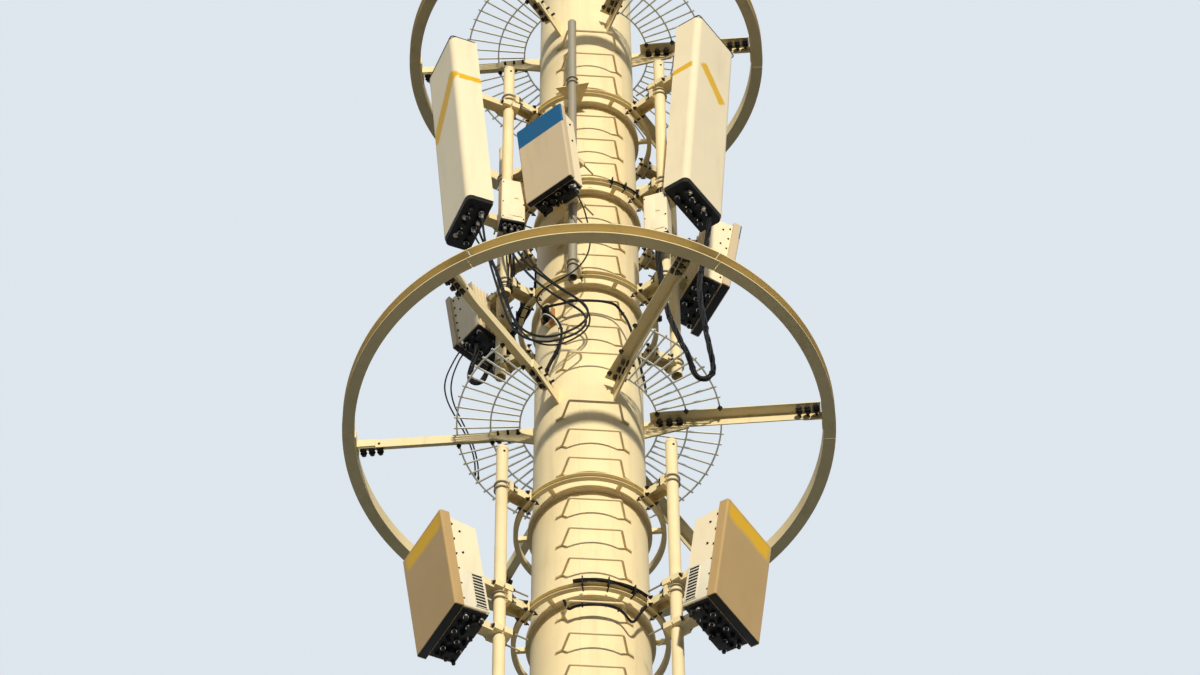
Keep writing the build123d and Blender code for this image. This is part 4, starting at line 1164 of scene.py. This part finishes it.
class TOWER_OT_rings(TowerOperator):
    """Splice the ring lengths, and fill the grilles with their in-between bars"""
    bl_idname = "tower.rings"
    bl_label = "Ring splices and grille bars"

    def build(self, finishes, sizes, stage):
        plates, bolts, bars = bmesh.new(), bmesh.new(), bmesh.new()
        for tier in ("mid", "upper"):
            radius, level = radius_of(f"{tier}_ring"), level_of(f"{tier}_ring")
            for arm in solids(f"{tier}_ring_arms"):
                outward = flat(arm.centre)
                joint = upright(Vector((0, 0, level)), atan2(outward.y, outward.x) + RING_JOINT_TURN)
                web = radius - CHANNEL_DEPTH + CHANNEL_WEB
                block(plates, shifted(joint, web + SPLICE[0] / 2), SPLICE, 0.002)
                for side in (-1, 1):
                    for place in SPLICE_BOLTS:
                        fasten(bolts, joint, (web + SPLICE[0], side * place), (1, 0, 0),
                               sizes.arm_bolt * 0.75, 0.008)
            self.grille(bars, f"{tier}_grille", sizes.grille_bar)
        piece("ring_splices", plates, "hoop")
        piece("ring_splice_bolts", bolts, "bolt")
        piece("grille_bars", bars, "grille")

    def grille(self, mesh, node, thickness):
        """Radial bars half way between those of the model, as long as they are."""
        for panel in solids(node):
            tip = max(hypot(c.x, c.y) for c in panel.corners)
            inner = min(hypot(c.x, c.y) for c in panel.corners)
            middle = panel.azimuth
            turns = sorted((atan2(c.y, c.x) - middle + pi) % (2 * pi) - pi
                           for c in panel.corners if hypot(c.x, c.y) > tip - 0.003)
            # Each tip has its corners close together, so a wide step starts the next bar.
            bars = [[turns[0]]]
            for turn in turns[1:]:
                if turn - bars[-1][-1] > 0.05:
                    bars.append([])
                bars[-1].append(turn)
            centres = [sum(bar) / len(bar) for bar in bars]
            for first, second in zip(centres, centres[1:]):
                place = upright(Vector((0, 0, panel.centre.z)), middle + (first + second) / 2)
                block(mesh, shifted(place, (tip + inner) / 2),
                      (tip - inner, thickness, thickness * 0.96))


class TOWER_OT_brackets(TowerOperator):
    """Hold the pipes to the hoops with clamping bolts and U-bolts"""
    bl_idname = "tower.brackets"
    bl_label = "Bracket U-bolts"

    def build(self, finishes, sizes, stage):
        nuts, backs, loops = bmesh.new(), bmesh.new(), []
        for tier in ("lower", "upper"):
            standing = pipes(f"{tier}_mount_pipes")
            for bracket in solids(f"{tier}_pipe_brackets"):
                spot = flat(bracket.centre)
                axis, radius, _, _ = min(standing, key=lambda pipe: (pipe[0] - spot).length)
                self.hoop_side(nuts, backs, bracket, sizes)
                loops += self.pipe_side(nuts, axis, radius, bracket.centre.z, BRACKET_SADDLE, sizes)
        (axis, radius, _, _), = pipes("front_pipe")
        for clamp in solids("front_pipe_clamps"):
            loops += self.pipe_side(nuts, axis, radius, clamp.centre.z, FRONT_SADDLE, sizes)
        clamp = max(solids("front_pipe_clamps"), key=lambda solid: solid.centre.z)
        # Three-sided plate under the upper clamp, its point on the pole.
        gap = hypot(axis.x, axis.y) - pole_radius(clamp.low.z) + 0.01
        spot = upright(flat(axis, clamp.low.z - 0.004), atan2(axis.y, axis.x))
        point = shifted(spot, -gap / 3) @ Matrix.Rotation(pi / 2, 4, "Z")
        stud(backs, point, gap / 1.5, -0.004, 0.004, 3)
        wires("bracket_u_bolts", loops, sizes.clamp_rod, "zinc", steps=3, sides=2)
        piece("bracket_nuts", nuts, "bolt")
        piece("clamp_back_plates", backs, "hoop")

    def hoop_side(self, nuts, backs, bracket, sizes):
        """Four bolts over and under the hoop, into a plate behind it."""
        inner = min(hypot(c.x, c.y) for c in bracket.corners)
        place = upright(polar(inner, bracket.azimuth, bracket.centre.z), bracket.azimuth)
        block(backs, shifted(place, -HOOP_DEPTH - 0.007), BACK_PLATE, 0.002)
        across, up = BRACKET_BOLTS
        for side in (-1, 1):
            for rise in (-1, 1):
                spot = shifted(place, 0, side * across, rise * up)
                bar(nuts, spot @ Vector((0.010, 0, 0)), spot @ Vector((-HOOP_DEPTH - 0.02, 0, 0)),
                    sizes.clamp_rod * 0.45, 8)
                fasten(nuts, spot, (0.010,), (1, 0, 0), sizes.clamp_nut, 0.010)
                fasten(nuts, spot, (-HOOP_DEPTH - 0.011,), (-1, 0, 0), sizes.clamp_nut, 0.012)

    def pipe_side(self, nuts, axis, radius, level, saddle, sizes):
        """Two U-bolts round the pipe, nutted behind the saddle."""
        reach = radius + sizes.clamp_rod / 2 + 0.002
        place = upright(flat(axis, level), atan2(axis.y, axis.x))
        loops = []
        for rise in (-U_BOLT_RISE, U_BOLT_RISE):
            back = radius + saddle + 0.035
            arc = [(reach * cos(turn), reach * sin(turn))
                   for turn in (pi / 2 - pi * step / 10 for step in range(11))]
            outline = [(-back, reach), (-0.3 * back, reach), *arc, (-0.3 * back, -reach), (-back, -reach)]
            loops.append([place @ Vector((x, y, rise)) for x, y in outline])
            for side in (-1, 1):
                fasten(nuts, place, (-radius - saddle, side * reach, rise), (-1, 0, 0), sizes.clamp_nut)
        return loops


class TOWER_OT_clamps(TowerOperator):
    """Run threaded rods through the antenna and radio clamps"""
    bl_idname = "tower.clamps"
    bl_label = "Clamp rods"

    def build(self, finishes, sizes, stage):
        standing = pipes("lower_mount_pipes") + pipes("upper_mount_pipes") + pipes("front_pipe")
        rods, nuts = bmesh.new(), bmesh.new()
        for node in ("panel_clamps", "lower_antenna_clamps", "front_antenna_clamps",
                     "rear_antenna_clamps", "radio_clamps"):
            for half in solids(node):
                spot = flat(half.centre)
                near = [pipe for pipe in standing if pipe[2] - 0.1 < half.centre.z < pipe[3] + 0.1]
                axis, radius, _, _ = min(near, key=lambda pipe: (pipe[0] - spot).length)
                if (spot - axis).length < radius:
                    self.rods(rods, nuts, axis, axis - spot, half, sizes)
        piece("clamp_rods", rods, "zinc")
        piece("clamp_nuts", nuts, "bolt")

    def rods(self, rods, nuts, axis, towards, half, sizes):
        """Two rods beside the pipe, through both halves of the clamp."""
        place = upright(flat(axis, half.centre.z), atan2(towards.y, towards.x))
        low, high = half.within(place)
        across = (high.y - low.y) / 2 - 0.010
        for side in (-1, 1):
            front, back = -low.x + 0.022, low.x - sizes.clamp_nut - sizes.rod_overhang
            bar(rods, place @ Vector((front, side * across, 0)), place @ Vector((back, side * across, 0)),
                sizes.clamp_rod / 2, 10)
            for end in (-1, 1):
                fasten(nuts, place, (end * low.x, side * across), (-end, 0, 0), sizes.clamp_nut)


class TOWER_OT_antennas(TowerOperator):
    """Dress the flat antennas: screws, vents, undersides with connectors and tilt arms"""
    bl_idname = "tower.antennas"
    bl_label = "Flat antenna details"

    def build(self, finishes, sizes, stage):
        screws, plastic, pale, bright, arms = (bmesh.new() for _ in range(5))
        for group in ("lower", "front", "rear"):
            for _, body, frame, extent in units(group):
                low, high = body.within(frame)
                self.screws(screws, low, high, frame, sizes)
                self.underside(plastic, bright, low, high, frame, extent, sizes)
                if group == "lower":
                    self.vents(pale, plastic, low, high, frame)
                if group != "front":
                    self.tilt_arm(arms, screws, low, high, frame, sizes)
        piece("cover_screws", screws, "bolt")
        # Black pieces, among them sheets of painted shade under the bodies and covers and in the vents.
        piece("antenna_undersides", plastic, "plastic")
        piece("antenna_vents", pale, "pale")
        piece("antenna_connectors", bright, "bright")
        piece("tilt_arms", arms, "zinc")

    def screws(self, mesh, low, high, frame, sizes):
        """Row of screws along each side of the body, next to the cover, and two further back."""
        for side, y in ((-1, low.y), (1, high.y)):
            for back, shares in SCREW_ROWS:
                for share in shares:
                    rise = low.z + (high.z - low.z) * share
                    fasten(mesh, frame, (high.x - back, y, rise), (0, side, 0), sizes.cover_screw)

    def underside(self, plastic, bright, low, high, frame, extent, sizes):
        """Black connector plate under the body and black strip under the cover, both partly black plastic
        and partly painted shade on the undersides; two rows of connectors.
        """
        depth, width = high.x - low.x, high.y - low.y
        middle = shifted(frame, (low.x + high.x) / 2, 0, low.z)
        # Black plate under the body: a connector plate that also stands for painted shade on the
        # underside.
        block(plastic, shifted(middle, 0, 0, -0.005), (depth * 0.96, width * 0.96, 0.010), 0.003)
        # Black strip under the cover: painted shade on the cover's underside, partly black plastic.
        block(plastic, shifted(frame, high.x / 2, 0, -extent.z / 2 - 0.002),
              (-high.x - 0.010, extent.y - 0.016, 0.004), 0.001)
        block(plastic, shifted(middle, -0.2 * depth, 0.22 * width, -0.03), (0.07, 0.11, 0.050), 0.006)
        block(plastic, shifted(middle, -0.1 * depth, -0.34 * width, -0.024), (0.09, 0.07, 0.038), 0.005)
        for row, x in enumerate((0.28, -0.02, -0.3)):
            for index in range(6):
                y = (index / 5 - 0.5) * 0.8 * width
                spot = facing(shifted(middle, x * depth, y, -0.010), (0, 0, -1))
                length = 0.030 + 0.012 * ((index + row) % 3)
                stud(plastic, spot, 0.015, 0, length, 12, 0.012)
                if (index + row) % 2:
                    collar(bright, shifted(spot, z=length * 0.6), 0.0125, 0.0165, 0.008, 12)

    def vents(self, pale, plastic, low, high, frame):
        """Lower cover plate on each side of the body, with a louvred vent at its back edge."""
        tall, deep, plate = VENT_HEIGHT, VENT_DEPTH, VENT_PLATE
        for side, y in ((-1, low.y), (1, high.y)):
            middle = shifted(frame, (low.x + high.x) / 2, y + side * 0.001, low.z + plate / 2)
            block(pale, middle, (high.x - low.x - 0.006, 0.006, plate - 0.006), 0.002)
            place = shifted(frame, low.x + 0.014 + deep / 2, y + side * 0.004,
                            low.z + 0.02 + tall / 2)
            # Black sheet behind the slats: painted shade in the vent's recess.
            block(plastic, place, (deep - 0.008, 0.004, tall - 0.008))
            for edge in (-1, 1):
                block(pale, shifted(place, edge * (deep / 2 - 0.003)), (0.006, 0.010, tall), 0.001)
                block(pale, shifted(place, z=edge * (tall / 2 - 0.003)), (deep, 0.010, 0.006), 0.001)
            for index in range(1, VENT_SLATS):
                slat = shifted(place, z=(index / VENT_SLATS - 0.5) * tall)
                block(pale, slat, (deep - 0.010, 0.008, 0.009), 0.001)

    def tilt_arm(self, arms, screws, low, high, frame, sizes):
        """Two-link tilt arm behind the top of the body, with a bolt at each joint."""
        rise = high.z - TILT_ARM_DROP
        start, elbow, end = ((low.x + x, rise + z) for x, z in TILT_ARM)
        for side in (-TILT_ARM_SIDE, TILT_ARM_SIDE):
            for first, second, shift in ((start, elbow, 0.003), (elbow, end, -0.003)):
                ends = [frame @ Vector((x, side + shift, z)) for x, z in (first, second)]
                link = along(*ends)
                block(arms, link, (0.005, 0.026, (ends[1] - ends[0]).length + 0.02), 0.002)
            for x, z in (start, elbow, end):
                fasten(screws, frame, (x, side, z), (0, side, 0), sizes.cover_screw * 1.6, 0.006)


class TOWER_OT_panels(TowerOperator):
    """Dress the tall panels: plugs, connector collars and sockets at their feet, and a dark seam round
    their tops
    """
    bl_idname = "tower.panels"
    bl_label = "Tall panel details"

    def build(self, finishes, sizes, stage):
        pale, bright, plastic, seams = bmesh.new(), bmesh.new(), bmesh.new(), []
        for cover in solids("panel_radomes"):
            cap = min(solids("panel_end_caps"),
                      key=lambda solid: (solid.centre - cover.centre).length)
            frame, extent = cover.place(flat(cover.centre))
            foot = cap.within(frame)[0].z
            for y in (-0.11, 0.05):
                spot = facing(shifted(frame, -0.05, y, foot + PANEL_STUD), (0, 0, -1))
                stud(pale, spot, 0.019, 0, 0.008, 20)
                stud(pale, spot, 0.015, 0.008, 0.022, 20, 0.012)
            self.connectors(bright, plastic, frame, extent, foot)
            seams.append(self.top_seam(frame, extent))
        wires("panel_top_seams", seams, 0.008, "plastic", steps=4, sides=2)
        piece("panel_plugs", pale, "pale")
        piece("panel_connector_collars", bright, "bright")
        piece("panel_foot_parts", plastic, "plastic")

    def top_seam(self, frame, extent):
        """Control points of the dark seam round the top of a panel, rounded as its corners are."""
        reach, side, top = extent.x / 2, extent.y / 2, extent.z / 2 - 0.002
        corners = [(0, -side), (reach, -side), (reach, side), (-reach, side), (-reach, -side), (0, -side)]
        outline = [corners[0]]
        for x, y in corners[1:-1]:
            across = (x - copysign(PANEL_CORNER, x), y)
            down = (x, y - copysign(PANEL_CORNER, y))
            outline += [across, (x, y), down] if x * y < 0 else [down, (x, y), across]
        return [frame @ Vector((x - reach, y, top)) for x, y in outline + corners[-1:]]

    def connectors(self, bright, plastic, frame, extent, tip):
        """Collars round the connector studs, and small sockets between them."""
        middle, half = -extent.x / 2, CONNECTOR_ROW / 2
        for row, x in enumerate((middle + half, middle - half)):
            for index in range(-2, 3):
                spot = facing(shifted(frame, x, index * CONNECTOR_PITCH, tip), (0, 0, -1))
                if (index + row) % 2:
                    collar(bright, shifted(spot, z=-0.014), 0.0135, 0.0175, 0.010, 16)
                else:
                    stud(plastic, shifted(spot, z=-0.012), 0.0185, 0, 0.018, 8)
                if index < 2:
                    y = (index + 0.5) * CONNECTOR_PITCH
                    between = facing(shifted(frame, x, y, tip + PANEL_STUD), (0, 0, -1))
                    stud(bright if index % 2 else plastic, between, 0.006, 0, 0.020, 10)


class TOWER_OT_radios(TowerOperator):
    """Dress the radio units: cover plates and the connector row in their feet"""
    bl_idname = "tower.radios"
    bl_label = "Radio unit details"

    def build(self, finishes, sizes, stage):
        pale, plastic, bright, screws = (bmesh.new() for _ in range(4))
        pipe_axes = [pipe[0] for pipe in pipes("upper_mount_pipes")]
        for radio in solids("radio_units"):
            spot = flat(radio.centre)
            axis = min(pipe_axes, key=lambda point: (point - spot).length)
            frame, extent = radio.place(spot - axis)
            tall = extent.z
            block(pale, shifted(frame, 0, -0.24 * extent.y, 0.008),
                  (0.006, 0.44 * extent.y, tall - 0.04), 0.002)
            block(pale, shifted(frame, 0.002, 0.02, 0.10 * tall), (0.008, 0.030, 0.036), 0.002)
            block(pale, shifted(frame, 0.002, 0.015, -0.24 * tall), (0.008, 0.095, 0.13), 0.003)
            for side in (-1, 1):
                for share in (-0.42, -0.06, 0.42):
                    fasten(screws, frame, (0, side * 0.43 * extent.y, share * tall), (1, 0, 0),
                           sizes.cover_screw * 0.8)
            foot = shifted(frame, -extent.x / 2, 0, -tall / 2)
            block(plastic, shifted(foot, z=0.016), (extent.x * 0.96, extent.y * 1.01, 0.032), 0.003)
            for index in range(4):
                spot = facing(shifted(foot, 0.018, (index - 1.5) * 0.034), (0, 0, -1))
                stud(plastic, spot, 0.011, 0, 0.020, 10)
                collar(bright, shifted(spot, z=0.010), 0.0105, 0.0135, 0.006, 12)
        piece("radio_plates", pale, "casting")
        piece("radio_feet", plastic, "plastic")
        piece("radio_connectors", bright, "bright")
        piece("radio_screws", screws, "bolt")


class TOWER_OT_pipes(TowerOperator):
    """Cap the mount pipes and strap short cable runs along two of them"""
    bl_idname = "tower.pipes"
    bl_label = "Pipe caps and cable runs"

    def build(self, finishes, sizes, stage):
        caps, marks, straps, runs = bmesh.new(), bmesh.new(), bmesh.new(), []
        for node in ("lower_mount_pipes", "upper_mount_pipes"):
            for axis, radius, foot, head in pipes(node):
                place = Matrix.Translation(flat(axis, head))
                stud(caps, place, radius + 0.0015, -0.018, 0.004, 32)
                stud(caps, place, radius + 0.0015, 0.004, 0.012, 32, radius - 0.012)
                side = upright(flat(axis, head - 0.06), radians(290))
                fasten(marks, side, (radius,), (1, 0, 0), sizes.cover_screw)
        front = sorted(pipes("upper_mount_pipes"), key=lambda pipe: pipe[0].y)[:2]
        for index, turn in PIPE_RUNS:
            axis, radius, foot, _ = front[index]
            foot += PIPE_RUN_FOOT
            runs += self.strands(axis, radius, foot, radians(turn), sizes)
            for share in PIPE_STRAPS:
                collar(straps, Matrix.Translation(flat(axis, foot + share * PIPE_RUN)),
                       radius + sizes.thin_strand, radius + sizes.thin_strand + 0.0025, sizes.strap, 32)
        piece("pipe_caps", caps, "pole")
        piece("pipe_cap_screws", marks, "bolt")
        piece("pipe_straps", straps, "plastic")
        wires("pipe_cable_runs", runs, sizes.thin_strand, "rubber", steps=3, sides=2)

    def strands(self, axis, radius, foot, turn, sizes):
        """Cables side by side up a pipe; between its straps each bulges and sways by its own amount."""
        reach, steps, found = radius + sizes.thin_strand / 2 + 0.001, 8, []
        for strand in range(PIPE_STRANDS):
            side = upright(axis, turn + PIPE_STRAND_TURN * (strand - PIPE_STRANDS // 2))
            route = []
            for step in range(steps + 1):
                held = step % 4 == 0
                out = 0.0 if held else 0.012 + 0.010 * sin(1.7 * strand + step)
                sway = 0.0 if held else 0.012 * sin(2.4 * strand + 1.9 * step)
                route.append(side @ Vector((reach + out, sway, foot + step * PIPE_RUN / steps)))
            found.append(route)
        return found


class TOWER_OT_pole(TowerOperator):
    """Lay the weld beads of the pole, stand the anchor bolts and screw down the cap"""
    bl_idname = "tower.pole"
    bl_label = "Welds and anchor bolts"

    def build(self, finishes, sizes, stage):
        welds = []
        joints = [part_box(f"pole_{name}_section")[0].z for name in ("lower", "middle", "upper")]
        joints.append(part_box("pole_upper_section")[1].z)
        for level in joints[1:-1]:
            turns = 48
            welds.append([polar(pole_radius(level) / cos(pi / turns), 2 * pi * step / turns, level)
                          for step in range(turns + 1)])
        for (low, high), seam in zip(zip(joints, joints[1:]), SEAMS):
            azimuth = radians(seam)
            welds.append([polar(pole_radius(level) - 0.001, azimuth, level)
                          for level in (low, (low + high) / 2, high)])
        wires("pole_weld_beads", welds, sizes.weld, "pole", steps=4, sides=2)
        bolts = bmesh.new()
        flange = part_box("base_flange")[1].z
        for index in range(ANCHORS):
            azimuth = 2 * pi * index / ANCHORS
            place = Matrix.Translation(polar(ANCHOR_CIRCLE, azimuth, flange))
            stud(bolts, place, sizes.anchor_bolt * 0.95, 0, 0.006, 20)
            for low in (0.006, 0.036):
                stud(bolts, place, sizes.anchor_bolt * 0.8, low, low + 0.028, 6)
            stud(bolts, place, sizes.anchor_bolt / 2, 0, 0.095, 16, sizes.anchor_bolt * 0.46)
        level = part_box("pole_cap")[0].z + 0.035
        for index in range(6):
            azimuth = radians(30 + 60 * index)
            side = upright(polar(radius_of("pole_cap"), azimuth, level), azimuth)
            bolt(bolts, facing(side, (1, 0, 0)), sizes.clamp_nut)
        piece("anchor_bolts", bolts, "zinc")


OPERATORS = (TOWER_OT_stage, TOWER_OT_finishes, TOWER_OT_cables, TOWER_OT_bundles, TOWER_OT_rungs,
             TOWER_OT_arms, TOWER_OT_rings, TOWER_OT_brackets, TOWER_OT_clamps, TOWER_OT_antennas,
             TOWER_OT_panels, TOWER_OT_radios, TOWER_OT_pipes, TOWER_OT_pole)


class TowerSettings(bpy.types.PropertyGroup):
    finishes: PointerProperty(type=TowerFinishes)
    sizes: PointerProperty(type=TowerSizes)
    stage: PointerProperty(type=TowerStage)


class TOWER_PT_panel(bpy.types.Panel):
    """Sidebar panel with the settings and the steps"""
    bl_idname = "TOWER_PT_panel"
    bl_label = "Cell tower"
    bl_space_type = "VIEW_3D"
    bl_region_type = "UI"
    bl_category = "Tower"

    def draw(self, context):
        tower = context.scene.tower
        for group in (tower.finishes, tower.sizes, tower.stage):
            box = self.layout.box()
            for name in group.__annotations__:
                box.prop(group, name)
        for operator in OPERATORS:
            self.layout.operator(operator.bl_idname)


CLASSES = (TowerFinishes, TowerSizes, TowerStage, TowerSettings, *OPERATORS, TOWER_PT_panel)


def register():
    for cls in CLASSES:
        bpy.utils.register_class(cls)
    bpy.types.Scene.tower = PointerProperty(type=TowerSettings)


def unregister():
    del bpy.types.Scene.tower
    for cls in reversed(CLASSES):
        bpy.utils.unregister_class(cls)


def main():
    register()
    for operator in OPERATORS:
        group, name = operator.bl_idname.split(".")
        getattr(getattr(bpy.ops, group), name)()


if __name__ == "__main__":
    main()
